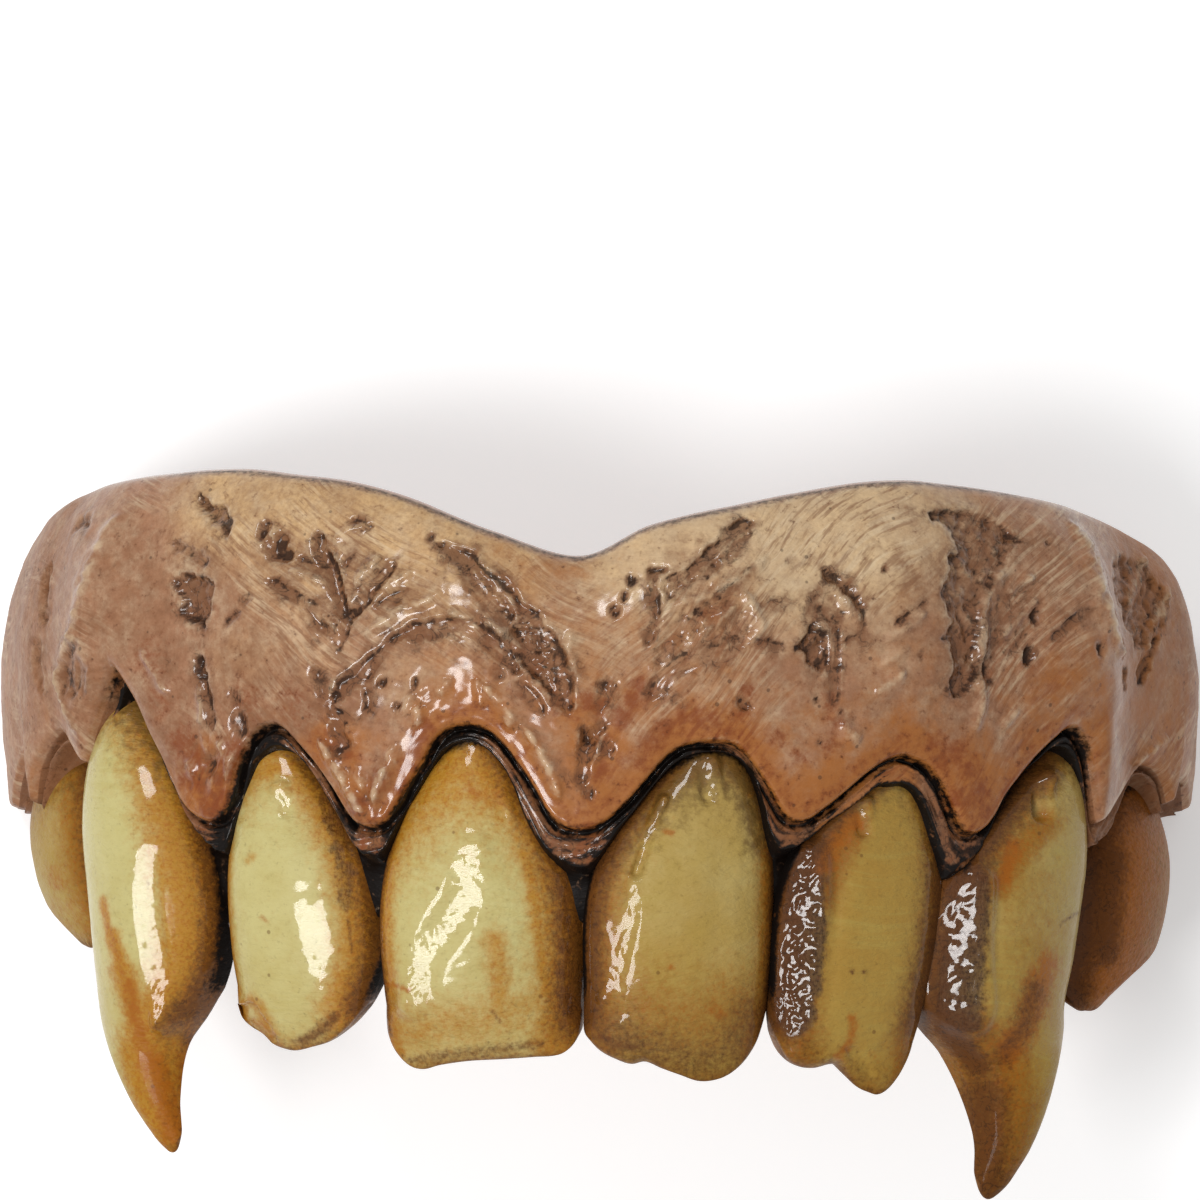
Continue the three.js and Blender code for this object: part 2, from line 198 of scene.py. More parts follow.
# apex: top of the scallop, as a distance along the arch and a height. arch: how square the scallop
# is to its left and right. root: how far the root swells the gum. sides: height, left and right
# side, from the neck down. edge: the biting edge from left to right.
TEETH = {
    "left_premolar": {
        "kind": "premolar", "apex": (-30.6, 4.8), "arch": (2, 2), "root": 0.45,
        "sides": [(5.8, -34.6, -31.4), (3, -37.8, -29.6), (0, -39.2, -29), (-2.2, -38.8, -29)],
        "edge": [
            (-38.8, -2.2), (-36.6, -3.6), (-34.2, -4.9), (-32.2, -5.6), (-30.4, -5.3), (-29, -2.6),
        ],
    },
    "left_fang": {
        "kind": "fang", "apex": (-25.2, 7.3), "arch": (2.4, 1.4), "root": 1.15,
        "sides": [
            (8.2, -26.6, -24.2), (6.5, -27.2, -23.2), (3, -28.3, -21.4), (0, -28.8, -20.4),
            (-3.5, -28.9, -19.8), (-6.4, -28.7, -20.3), (-8.6, -28.2, -21.6), (-10.2, -27.3, -22.6),
            (-12.6, -25.6, -22.6), (-14.6, -23.9, -22.4),
        ],
        "edge": [(-23.9, -14.6), (-23.5, -15), (-23.1, -15.25), (-22.7, -15.15), (-22.4, -14.6)],
    },
    "left_lateral": {
        "kind": "incisor", "apex": (-15.5, 4.5), "arch": (1.9, 1.6), "root": 0.45,
        "sides": [
            (5.6, -17, -14.8), (4.2, -17.3, -14.4), (1.5, -18.3, -12.6), (-1.4, -18.8, -11.2),
            (-5.4, -19, -10.7), (-8, -18.9, -11.6),
        ],
        "edge": [
            (-19.2, -8), (-19, -8.6), (-18.5, -9), (-17.6, -9.4), (-17, -9.8), (-16.4, -10),
            (-15.6, -10.1), (-14.6, -9.9), (-13.6, -9.6), (-12.8, -9), (-12.3, -8.4), (-12.1, -8),
        ],
    },
    "left_central": {
        "kind": "incisor", "apex": (-5.9, 4.3), "arch": (1.7, 1.7), "root": 0.3,
        "sides": [
            (5.4, -7.4, -4.6), (3.9, -7.9, -4), (0.5, -9.7, -2.1), (-3, -10.5, -0.7),
            (-7.7, -10.5, -0.7), (-9.3, -10.4, -0.9),
        ],
        "edge": [
            (-10.3, -9), (-10.1, -9.7), (-9.7, -10.3), (-9.2, -10.7), (-8.6, -10.8), (-7.8, -10.6),
            (-6.4, -10.4), (-4.7, -10.3), (-3.3, -10.2), (-2.1, -10.1), (-1.6, -9.8), (-1.3, -9.3),
        ],
    },
    "right_central": {
        "kind": "incisor", "apex": (5.2, 3.8), "arch": (1.7, 2.3), "root": 0.3,
        "sides": [
            (5.2, 3.9, 6.4), (3.6, 3.1, 7.2), (0, 0.4, 8.4), (-3, -0.7, 8.6), (-7.7, -0.8, 8.4),
            (-9.3, -0.8, 7.8),
        ],
        "edge": [
            (-0.7, -9.3), (-0.1, -9.9), (0.7, -10.3), (1.4, -10.5), (2.1, -10.4), (2.9, -10.7),
            (3.8, -11), (4.8, -11.3), (5.8, -11.2), (6.6, -10.8), (7.2, -10.2), (7.8, -9.2),
        ],
    },
    "right_lateral": {
        "kind": "incisor", "apex": (14.2, 3.2), "arch": (1.6, 1.8), "root": 0.45,
        "sides": [
            (4.4, 13.2, 15.4), (3, 12.5, 16.2), (0, 9.6, 17.1), (-3.2, 8.4, 17.2), (-7.8, 8.2, 16.4),
            (-9.4, 8.4, 15.9),
        ],
        "edge": [
            (8.6, -9.4), (9, -10.3), (9.6, -10.7), (10.4, -10.8), (11.5, -10.65), (12.1, -11.15),
            (12.7, -11.7), (13.4, -12), (13.9, -12.1), (14.5, -11.8), (15, -11.2), (15.5, -10.2),
            (15.9, -9.4),
        ],
    },
    "right_fang": {
        "kind": "fang", "apex": (23.7, 4.4), "arch": (1.4, 2.4), "root": 1.15,
        "sides": [
            (5.6, 23, 25.6), (4, 22.2, 26), (0.5, 18.6, 26.6), (-2.4, 16.5, 26.8), (-6, 15.7, 26.4),
            (-8, 15.7, 25.8), (-9.4, 17.3, 25.6), (-10.8, 18.8, 25), (-14, 19.7, 23.1),
            (-16.4, 19.5, 21.3),
        ],
        "edge": [(19.5, -16.4), (19.7, -17), (20.1, -17.3), (20.6, -17.2), (21.1, -16.8), (21.3, -16.4)],
    },
    "right_premolar": {
        "kind": "premolar", "apex": (34.2, 2.8), "arch": (2, 2.2), "root": 0.45,
        "sides": [(4, 32.6, 35.6), (1, 28.6, 38.6), (-2, 27.2, 39.8), (-4.2, 26.8, 39)],
        "edge": [
            (26.8, -6.5), (27.2, -8.3), (28.4, -8.7), (29.8, -8.6), (32.4, -7.4), (35.8, -6),
            (39, -4.2),
        ],
    },
}
print("teeth:", ", ".join(TEETH))

# %% [markdown]
# Marks that were pressed into the clay, and later the stains in the paint, are placed over the
# picture. A pixel fixes a line of sight, and where that line meets the arch gives the place: the
# distance along the arch comes from the pixel's column, and the height from its row. For a tooth it
# is easier the other way round: its points are looked up on the picture, and measured there.

# %% From the picture to the arch
SCAN_STEPS = 3000
scan = np.linspace(-ARCH_END, ARCH_END, SCAN_STEPS + 1)


def traced(pixels, out):
    """Distances along the arch and heights of photograph pixels, on a skin that stands out so far."""
    x, _, z = place(scan, out, 0).T
    depth = CAMERA_DISTANCE - z
    column = AXIS_X + FOCAL_PIXELS * x / depth
    seen = slice(int(np.argmin(column)), int(np.argmax(column)) + 1)
    px, py = np.array(pixels, float).T
    along = np.interp(px, column[seen], scan[seen])
    height = (AXIS_Y - py) * np.interp(along, scan, depth) / FOCAL_PIXELS
    return np.stack([along, height], -1)


def rounded(points, rounds=2):
    """A line of points with its corners cut off, so that it runs smoothly."""
    line = np.array(points, float)
    for _ in range(rounds):
        early, late = line[:-1] * 0.75 + line[1:] * 0.25, line[:-1] * 0.25 + line[1:] * 0.75
        line = np.vstack([line[:1], np.stack([early, late], 1).reshape(-1, 2), line[-1:]])
    return line


def from_line(line, spots):
    """How far each spot is from a line, its share of the way along it, and its side, 1 or -1."""
    nearest = np.full(len(spots), np.inf)
    share, side = np.zeros(len(spots)), np.ones(len(spots))
    for i, (start, end) in enumerate(zip(line[:-1], line[1:])):
        way = end - start
        t = np.clip((spots - start) @ way / (way @ way), 0, 1)
        apart = np.hypot(*(spots - start - t[:, None] * way).T)
        closer = apart < nearest
        nearest[closer] = apart[closer]
        share[closer] = (i + t[closer]) / (len(line) - 1)
        to_left = way[0] * (spots[closer, 1] - start[1]) - way[1] * (spots[closer, 0] - start[0])
        side[closer] = np.where(to_left > 0, 1, -1)
    return nearest, share, side


def inside(outline, spots):
    """How far each spot lies inside a closed outline, and less than zero outside it."""
    closed = np.vstack([outline, outline[:1]])
    apart, _, _ = from_line(closed, spots)
    crossings = np.zeros(len(spots), int)
    x, y = spots.T
    for (ax, ay), (bx, by) in zip(closed[:-1], closed[1:]):
        spans = (ay > y) != (by > y)
        crossings += spans & (x < ax + (y - ay) / (by - ay if by != ay else 1) * (bx - ax))
    return np.where(crossings % 2 == 1, apart, -apart)


NOISE_SHIFT = (17.3, 5.1, 9.7)


def lumps(points, size, seed, octaves=1):
    """Smooth noise of about -1 to 1 at points in millimetres, with lumps of the given size."""
    shift = Vector([along_axis * seed for along_axis in NOISE_SHIFT])
    return np.array([noise.fractal(Vector(p) / size + shift, 1, 2, octaves) for p in points])


def glow(spots, blots, out):
    """How strongly each spot is covered by soft blots of (strength, radius, places)."""
    cover = np.zeros(len(spots))
    for strength, radius, places in blots:
        for spot in traced(places, out):
            apart = np.hypot(*(spots - spot).T)
            cover = np.maximum(cover, strength * np.exp(-((apart / radius) ** 2)))
    return cover


PIXELS_PER_MM = 22.2


def on_paper(points):
    """Where points are seen on the tracing paper, in millimetres at the object's distance."""
    x, y, z = points.T
    scale = FOCAL_PIXELS / (CAMERA_DISTANCE - z) / PIXELS_PER_MM
    return np.stack([AXIS_X / PIXELS_PER_MM + x * scale, AXIS_Y / PIXELS_PER_MM - y * scale], -1)


def drawn(pixels):
    """A line of pixels on the tracing paper, in millimetres."""
    return rounded(pixels) / PIXELS_PER_MM


def from_drawn(pixels, spots):
    """How far each spot of the tracing paper is from a line that is drawn on it."""
    return from_line(drawn(pixels), spots)[0]


middle_of_picture = traced([(AXIS_X, AXIS_Y)], 1)[0]
print("the camera's axis meets the arch at", middle_of_picture.round(2))

# %% [markdown]
# The gum was modelled in soft clay before it was cast. A loop tool dragged through the clay leaves a
# furrow with a small burr on both sides, a torn patch has a crisp jagged edge and a rough floor, and
# a fold stands up as a ridge. Each kind of mark is one list here: how wide and how deep or high it is
# in millimetres, how much dark wash stays in it, and the pixels that it runs through.

# %% Marks in the gum
# half width, depth, wash, line in pixels
FURROWS = [
    # the two arched furrows over the left central tooth
    (0.45, 0.5, 1, [(436, 542), (453, 548), (470, 560), (485, 575), (500, 589), (517, 602), (530, 613)]),
    (0.4, 0.4, 0.9, [(462, 566), (478, 583), (494, 603), (509, 620), (520, 640)]),
    (0.55, 0.5, 0.8, [(530, 613), (545, 634), (556, 655), (565, 680), (570, 706)]),
    (0.35, 0.4, 1, [(333, 696), (346, 680), (361, 667), (377, 652), (390, 639), (410, 630)]),
    (0.55, 0.4, 0.8, [(404, 632), (433, 627), (455, 624), (478, 627), (496, 642), (510, 662)]),
    (0.22, 0.3, 1, [(364, 682), (369, 668), (382, 653), (393, 640)]),
    (0.22, 0.3, 1, [(331, 706), (345, 716), (356, 719), (367, 704), (363, 690)]),
    (0.22, 0.25, 0.9, [(333, 698), (330, 706), (336, 713)]),
    (0.2, 0.25, 0.8, [(344, 720), (331, 733)]),
    (0.3, 0.25, 0.7, [(516, 682), (530, 692), (543, 712)]),
    # the two strokes that meet in a V, and what lies round them
    (0.42, 0.55, 1, [(314, 534), (318, 548), (328, 565), (334, 580), (340, 600), (343, 616)]),
    (0.3, 0.4, 0.9, [(296, 558), (310, 563), (324, 571)]),
    (0.32, 0.4, 0.9, [(268, 580), (288, 592), (306, 600), (322, 613), (337, 628)]),
    (0.3, 0.35, 0.7, [(306, 600), (318, 620), (334, 634)]),
    (0.45, 0.5, 1, [(393, 564), (384, 576), (372, 590), (360, 604), (352, 616)]),
    (0.3, 0.35, 0.7, [(352, 612), (345, 634), (339, 650)]),
    (0.28, 0.3, 0.9, [(347, 519), (357, 521), (367, 525)]),
    (0.3, 0.3, 0.8, [(376, 604), (389, 596), (407, 589)]),
    (0.22, 0.2, 0.6, [(351, 553), (346, 558), (344, 566)]),
    (0.2, 0.2, 0.6, [(224, 624), (231, 616), (237, 612)]),
    (0.2, 0.18, 0.5, [(238, 600), (250, 594)]),
    # the slit under the torn patches on the left
    (0.3, 0.35, 0.8, [(203, 680), (207, 700), (212, 724)]),
    (0.25, 0.25, 0.6, [(228, 690), (236, 704)]),
    # the fold in the middle papilla
    (0.4, 0.45, 1, [(606, 727), (597, 730), (586, 750), (582, 768), (584, 782)]),
    (0.22, 0.25, 0.8, [(586, 788), (592, 796)]),
    (0.3, 0.25, 0.5, [(616, 684), (608, 696), (600, 712)]),
    (0.3, 0.25, 0.6, [(606, 742), (612, 752)]),
    # the deep diagonal furrow on the right, with the crack under its round pit
    (0.3, 0.35, 0.9, [(664, 582), (684, 573), (699, 562), (710, 553)]),
    (0.42, 0.55, 1, [(706, 555), (716, 546), (728, 536), (739, 527), (754, 521)]),
    (0.24, 0.35, 1, [(655, 574), (658, 600), (661, 616), (654, 631), (649, 643)]),
    (0.6, 0.3, 0.8, [(651, 694), (659, 680), (671, 667), (689, 656), (710, 649), (728, 644), (743, 638)]),
    (0.25, 0.25, 0.8, [(763, 604), (779, 600), (796, 601)]),
    (0.22, 0.3, 1, [(755, 639), (766, 640), (782, 645)]),
    (0.25, 0.22, 0.7, [(718, 595), (728, 588), (740, 578), (756, 566)]),
    (0.2, 0.2, 0.6, [(790, 560), (806, 561)]),
    # the scar in the middle of the right half
    (0.3, 0.5, 1, [(827, 570), (838, 578), (853, 589), (862, 606), (866, 626)]),
    (0.4, 0.35, 0.8, [(824, 596), (817, 612), (811, 628)]),
    (0.3, 0.35, 0.9, [(838, 630), (838, 660), (835, 686), (837, 703)]),
    (0.25, 0.25, 0.7, [(846, 640), (860, 636), (866, 628)]),
    (0.2, 0.3, 0.9, [(898, 621), (910, 612), (925, 603)]),
    # strokes round the torn side of the right fang's root
    (0.25, 0.25, 0.7, [(1054, 640), (1062, 630), (1076, 616), (1092, 609)]),
    (0.25, 0.3, 0.8, [(1003, 652), (1020, 645), (1036, 630)]),
    (0.25, 0.25, 0.5, [(1002, 600), (1018, 598), (1030, 592)]),
    (0.5, 0.35, 0.5, [(1152, 570), (1140, 590), (1128, 612)]),
    (0.5, 0.35, 0.5, [(1168, 590), (1155, 612), (1142, 636)]),
    (0.45, 0.3, 0.5, [(1158, 636), (1148, 660), (1140, 682)]),
    # folds at the far left
    (0.6, 0.35, 0.5, [(76, 640), (66, 662), (62, 690)]),
    (0.5, 0.35, 0.5, [(44, 566), (42, 592), (46, 624)]),
    (0.5, 0.3, 0.4, [(40, 640), (36, 664), (38, 690)]),
]
# half width, height, line in pixels
RIDGES = [
    (0.3, 0.3, [(438, 594), (425, 601), (408, 607), (388, 619), (366, 634)]),
    (0.25, 0.25, [(470, 556), (489, 574), (505, 592), (516, 610)]),
    (0.35, 0.25, [(450, 611), (464, 618), (478, 628)]),
    (0.3, 0.25, [(484, 622), (500, 630), (520, 648)]),
    (0.35, 0.35, [(376, 556), (366, 570), (356, 584)]),
    (0.3, 0.25, [(362, 592), (351, 606)]),
    (0.25, 0.25, [(288, 570), (304, 575), (324, 584)]),
    (0.2, 0.25, [(300, 598), (318, 610), (338, 631)]),
    (0.25, 0.2, [(332, 538), (347, 526), (362, 522)]),
    (0.25, 0.2, [(382, 588), (396, 578), (408, 572)]),
    (0.22, 0.25, [(198, 688), (202, 706), (199, 720)]),
    (0.3, 0.22, [(570, 634), (570, 655), (570, 676)]),
    (0.22, 0.25, [(661, 618), (672, 608), (686, 601), (712, 595)]),
    (0.3, 0.28, [(716, 592), (734, 582), (752, 568), (768, 558)]),
    (0.25, 0.25, [(745, 594), (757, 612), (763, 630), (750, 643)]),
    (0.25, 0.25, [(702, 632), (720, 622), (734, 606)]),
    (0.25, 0.3, [(846, 597), (854, 608), (861, 620)]),
    (0.25, 0.2, [(888, 640), (904, 628), (924, 613)]),
    (0.35, 0.2, [(884, 664), (896, 655), (908, 648)]),
    (0.4, 0.25, [(878, 694), (892, 684), (904, 672)]),
    (0.35, 0.3, [(843, 722), (850, 734), (862, 742)]),
    (0.3, 0.3, [(984, 613), (981, 640), (980, 664)]),
    (0.3, 0.28, [(980, 680), (983, 704), (975, 730)]),
    (0.28, 0.3, [(1003, 636), (1018, 620), (1037, 600)]),
    (0.28, 0.25, [(985, 580), (994, 570), (1004, 575)]),
    (0.28, 0.25, [(1012, 592), (1022, 584), (1035, 577)]),
    (0.25, 0.2, [(1006, 726), (1019, 710)]),
    (0.7, 0.4, [(1098, 524), (1106, 552), (1105, 593), (1110, 630), (1122, 652)]),
    (0.5, 0.3, [(1160, 556), (1146, 580), (1134, 602)]),
    (0.5, 0.3, [(1176, 588), (1160, 618), (1148, 646)]),
    (0.4, 0.3, [(1143, 764), (1157, 750), (1171, 738)]),
    (0.7, 0.35, [(98, 520), (88, 560), (80, 600), (74, 642)]),
    (0.45, 0.35, [(76, 634), (62, 654), (56, 680), (60, 708), (66, 728)]),
    (0.35, 0.25, [(144, 650), (156, 672), (166, 692)]),
    (0.35, 0.3, [(410, 697), (403, 712)]),
    (0.3, 0.3, [(417, 708), (417, 724)]),
    (0.4, 0.25, [(448, 682), (436, 692)]),
    (0.2, 0.22, [(476, 680), (480, 704)]),
    (0.4, 0.35, [(486, 688), (502, 702), (512, 714), (509, 726)]),
    (0.35, 0.4, [(524, 728), (536, 744), (546, 762), (558, 796)]),
    (0.2, 0.18, [(694, 740), (712, 737), (736, 739), (752, 750)]),
    (0.35, 0.4, [(318, 741), (332, 766), (348, 792), (360, 812)]),
    (0.35, 0.4, [(393, 748), (382, 772), (372, 800)]),
    (0.3, 0.3, [(354, 766), (362, 790)]),
    (0.35, 0.3, [(186, 760), (190, 776)]),
    (0.35, 0.3, [(218, 742), (226, 758), (222, 776)]),
]
# depth, softness of its edge, wash, outline in pixels
TORN_PATCHES = [
    (0.45, 0.3, 0.9, [(181, 489), (196, 496), (216, 508), (224, 524), (221, 540), (206, 528), (190, 515)]),
    (0.22, 0.3, 0.5, [(156, 535), (178, 542), (202, 547), (212, 556), (203, 570), (188, 562), (168, 552)]),
    (0.5, 0.25, 0.9, [
        (167, 580), (184, 572), (205, 572), (212, 584), (208, 612), (203, 628), (189, 626), (175, 612),
        (180, 596),
    ]),
    (0.5, 0.25, 1, [(200, 650), (207, 667), (212, 685), (202, 681), (191, 673), (195, 660)]),
    (0.45, 0.35, 0.9, [
        (518, 610), (534, 616), (542, 634), (553, 654), (563, 680), (570, 710), (553, 701), (537, 682),
        (522, 668), (507, 652), (498, 638), (512, 628),
    ]),
    (0.4, 0.3, 0.9, [(340, 604), (352, 606), (366, 604), (360, 617), (349, 634), (342, 642)]),
    (0.3, 0.3, 0.6, [
        (662, 584), (690, 572), (712, 556), (736, 532), (756, 524), (760, 536), (742, 556), (722, 572),
        (704, 580), (684, 594), (664, 608),
    ]),
    (0.2, 0.35, 0.5, [
        (655, 640), (676, 616), (700, 604), (730, 600), (752, 606), (756, 628), (736, 640), (706, 646),
        (678, 658), (660, 676), (648, 670),
    ]),
    (0.5, 0.25, 1, [
        (800, 634), (812, 624), (830, 628), (836, 644), (833, 666), (822, 675), (808, 664), (796, 648),
    ]),
    (0.25, 0.3, 0.6, [(812, 600), (828, 590), (844, 602), (850, 622), (838, 634), (822, 624)]),
    (0.42, 0.3, 0.75, [
        (924, 511), (940, 514), (948, 522), (962, 538), (959, 552), (947, 555), (952, 566), (938, 593),
        (947, 608), (952, 624), (936, 640), (951, 646), (952, 669), (945, 690), (957, 700), (975, 695),
        (980, 672), (978, 640), (984, 612), (996, 584), (1014, 560), (1034, 540), (1012, 516),
        (988, 511), (968, 506), (946, 508),
    ]),
    (0.25, 0.5, 0.5, [(980, 672), (990, 600), (1012, 566), (1040, 584), (1036, 640), (1016, 664)]),
    (0.35, 0.5, 0.6, [
        (1124, 562), (1137, 552), (1156, 562), (1167, 583), (1172, 604), (1166, 630), (1154, 650),
        (1136, 652), (1126, 624), (1120, 592),
    ]),
    (0.3, 0.5, 0.5, [(56, 516), (66, 509), (74, 521), (69, 536), (58, 534)]),
    (0.3, 0.6, 0.45, [(60, 656), (76, 650), (86, 668), (78, 698), (64, 706), (58, 684)]),
]
# radius, depth, wash, places
PITS = [
    (0.34, 0.6, 1, [(659, 569), (585, 735)]),
    (0.5, 0.5, 0.8, [(281, 555), (272, 548)]),
    (0.3, 0.45, 0.9, [(256, 531), (262, 537), (329, 572), (986, 667), (1031, 656), (1037, 613)]),
    (0.22, 0.35, 1, [(426, 535), (843, 712), (525, 664), (536, 652), (511, 616), (516, 668)]),
    (0.2, 0.25, 0.9, [(631, 579), (624, 599), (613, 609), (415, 682), (382, 683), (397, 706), (168, 662)]),
    (0.18, 0.22, 0.8, [(886, 570), (921, 658), (818, 700), (822, 742), (699, 611), (738, 624), (721, 597)]),
    (0.25, 0.3, 0.6, [(1102, 649), (1059, 542), (1013, 649), (990, 683), (1125, 676), (1126, 688)]),
    (0.4, 0.3, 0.7, [(320, 684), (316, 676), (235, 722), (337, 748), (343, 745), (204, 771), (208, 764)]),
    (0.3, 0.3, 0.6, [(747, 705), (742, 700), (606, 684), (830, 665), (812, 650), (500, 676)]),
]
# strength, radius, places: wet, lumpy places where varnish has gathered on the points of the gum
WET = [
    (1, 1.4, [(190, 770), (204, 786), (218, 770), (200, 805), (206, 750)]),
    (0.9, 1.1, [(336, 750), (350, 800), (366, 810), (340, 780)]),
    (0.5, 1.2, [(840, 735), (835, 722), (420, 700), (410, 712)]),
    (0.4, 1, [(596, 740), (606, 728)]),
    (0.45, 0.7, [(846, 606), (862, 590), (880, 575), (930, 735), (945, 715), (955, 695), (880, 700)]),
    (0.5, 0.7, [(1002, 640), (1006, 675), (1000, 720), (992, 750), (1032, 655), (1030, 740), (1052, 610)]),
]
print("marks:", len(FURROWS), "furrows,", len(RIDGES), "ridges,", len(TORN_PATCHES), "patches")

# %% [markdown]
# The gum and the tray are one skin: a fine grid whose columns run round the arch and whose rows run
# round the section of the tray. Subdividing a coarse model would round off the crisp marks, so the
# grid starts fine enough for them, about seven points to the millimetre. The lower edge of the gum is
# a rolled lip over each tooth. Under it comes a dark groove, and then a collar of darker strands, down
# to the line where the teeth come out.

# %% The gum's smooth form
PAPILLA_TURNS = np.array([at for at, _ in PAPILLAE])


def gum_edge(along):
    """Height of the gum's lower edge: an arc over each tooth, down to a point between two teeth."""
    edge = np.where(along < 0, PAPILLAE[0][1], PAPILLAE[-1][1]).astype(float)
    for i, tooth in enumerate(TEETH.values()):
        apex, top = tooth["apex"]
        for side in (0, 1):
            foot, low = PAPILLAE[i + side]
            share = (along - apex) / (foot - apex)
            within = (share >= 0) & (share <= 1)
            arc = top - (top - low) * np.clip(share, 0, 1) ** tooth["arch"][side]
            edge = np.where(within, arc, edge)
    return edge


def gum_face(along, share):
    """How far the gum stands out at a share of its height, swollen over each root."""
    out = GUM_LIP + GUM_BELLY * np.sin(math.pi * share)
    out = out + SIDE_SWELL * np.minimum(1, np.abs(along) / SIDE_START)
    wave = np.sin(math.pi * (ROOT_START + (ROOT_END - ROOT_START) * share))
    for tooth in TEETH.values():
        reach = (along - tooth["apex"][0]) / KINDS[tooth["kind"]]["root_width"]
        out = out + tooth["root"] * np.exp(-(reach**2)) * wave
    return out - RIM_LEAN * share**RIM_LEAN_SHARPNESS


# The crisp lower edge of the pink gum, and below it the line where the teeth come out, in pixels
LIP_LINE = [
    (30, 803), (33, 772), (40, 752), (50, 736), (58, 730), (66, 736), (74, 752), (80, 764), (84, 760),
    (88, 742), (93, 722), (100, 704), (108, 686), (114, 672), (118, 668), (127, 685), (140, 712),
    (150, 738), (160, 757), (172, 785), (183, 808), (197, 820),
    (210, 822), (220, 814), (228, 795), (233, 778), (238, 762), (246, 742), (257, 728), (270, 723),
    (280, 726), (290, 737), (300, 748), (312, 762), (325, 780), (338, 800), (350, 820), (362, 828),
    (378, 826), (388, 816), (396, 804), (405, 789), (420, 764), (430, 745), (440, 732), (455, 727),
    (470, 725), (485, 729), (500, 740), (512, 755), (525, 775), (538, 795), (548, 813), (558, 825),
    (575, 830), (592, 829), (606, 821), (618, 811), (635, 794), (650, 776), (665, 758), (680, 747),
    (700, 742), (725, 742), (740, 748), (752, 760), (762, 775), (772, 790), (780, 805), (788, 817),
    (797, 822), (808, 821), (820, 815), (840, 799), (860, 781), (880, 765), (893, 758), (910, 756),
    (925, 761), (935, 770), (944, 785), (952, 800), (958, 815), (964, 828), (973, 835), (982, 834),
    (990, 827), (998, 815), (1004, 802), (1010, 792), (1025, 772), (1040, 755), (1055, 740),
    (1066, 730), (1078, 728), (1086, 736), (1092, 750), (1096, 775), (1099, 800), (1102, 824),
    (1108, 820), (1118, 802), (1128, 786), (1138, 770), (1146, 764), (1156, 766), (1165, 776),
    (1171, 790), (1174, 804),
]
NECK_LINE = [
    (30, 812), (35, 782), (42, 760), (52, 746), (60, 742), (68, 749), (76, 766), (81, 778), (86, 770),
    (91, 750), (97, 728), (105, 708), (112, 692), (120, 684), (127, 698), (135, 715), (143, 740),
    (152, 760), (165, 790), (175, 815), (190, 838),
    (203, 850), (213, 856), (219, 846), (224, 825), (229, 808), (238, 783), (247, 760), (258, 750),
    (272, 747), (288, 755), (302, 769), (312, 785), (322, 801), (335, 826), (346, 846), (356, 857),
    (367, 859), (377, 856), (386, 838), (398, 812), (412, 789), (425, 768), (438, 750), (455, 742),
    (470, 742), (485, 750), (500, 766), (512, 790), (522, 820), (540, 850), (558, 863), (574, 870),
    (586, 870), (595, 864), (606, 850), (621, 830), (640, 806), (655, 786), (670, 769), (690, 755),
    (715, 751), (735, 753), (750, 763), (760, 779), (767, 800), (771, 825), (777, 846), (785, 854),
    (796, 852), (808, 846), (822, 834), (840, 820), (860, 808), (873, 797), (885, 786), (900, 787),
    (914, 784), (925, 795), (935, 820), (943, 845), (950, 864), (959, 880), (971, 875), (985, 858),
    (1000, 828), (1010, 806), (1028, 778), (1045, 762), (1064, 746), (1076, 748), (1086, 762),
    (1092, 785), (1096, 810), (1099, 832), (1103, 850), (1112, 843), (1121, 831), (1130, 808),
    (1138, 786), (1147, 774), (1157, 776), (1165, 787), (1170, 800), (1173, 814),
]
LIP_OUT = gum_face(scan, 0)
NARROWEST_GROOVE = 0.3
RUN_IN = 0.8


def followed(pixels, along, usual):
    """A traced line as heights along the arch, run into the usual line where the trace ends."""
    at, height = traced(rounded(pixels), LIP_OUT).T
    known = ramp(along, at[0] - RUN_IN, at[0]) * ramp(-along, -at[-1] - RUN_IN, -at[-1])
    return usual + (np.interp(along, at, height) - usual) * known


print("gum edge at the apexes:", gum_edge(np.array([t["apex"][0] for t in TEETH.values()])))

# %% [markdown]
# The marks are worked into a height field over the gum's face. Where two furrows cross, the deeper one
# wins, as it does in clay, while burrs and ridges add up. A little noise moves every edge, so that
# no mark looks drawn with a ruler. The field also remembers where wash and ink would stay, where
# painted shadow lies just inside the edge of a torn patch, and where a pale painted highlight runs
# along the top of each ridge.

# %% The gum's relief
GUM_OUT = gum_face(scan, 0.5)
FURROW_DEPTH = 0.75
BURR = 0.1
WOBBLE = 0.13
COMB = 0.05


def near(line, spots, margin):
    """Which spots lie in the box round a line, with a margin."""
    low, high = line.min(0) - margin, line.max(0) + margin
    return np.flatnonzero(((spots > low) & (spots < high)).all(1))


def combed(line, beside, share):
    """Fine grooves along a stroke, left by the comb of the loop tool, from -1 to 1."""
    length = np.hypot(*np.diff(line, axis=0).T).sum()
    across = np.stack([beside / 0.2, share * length / 1.6, np.full_like(share, length)], -1)
    return lumps(across, 1, 7, 2)


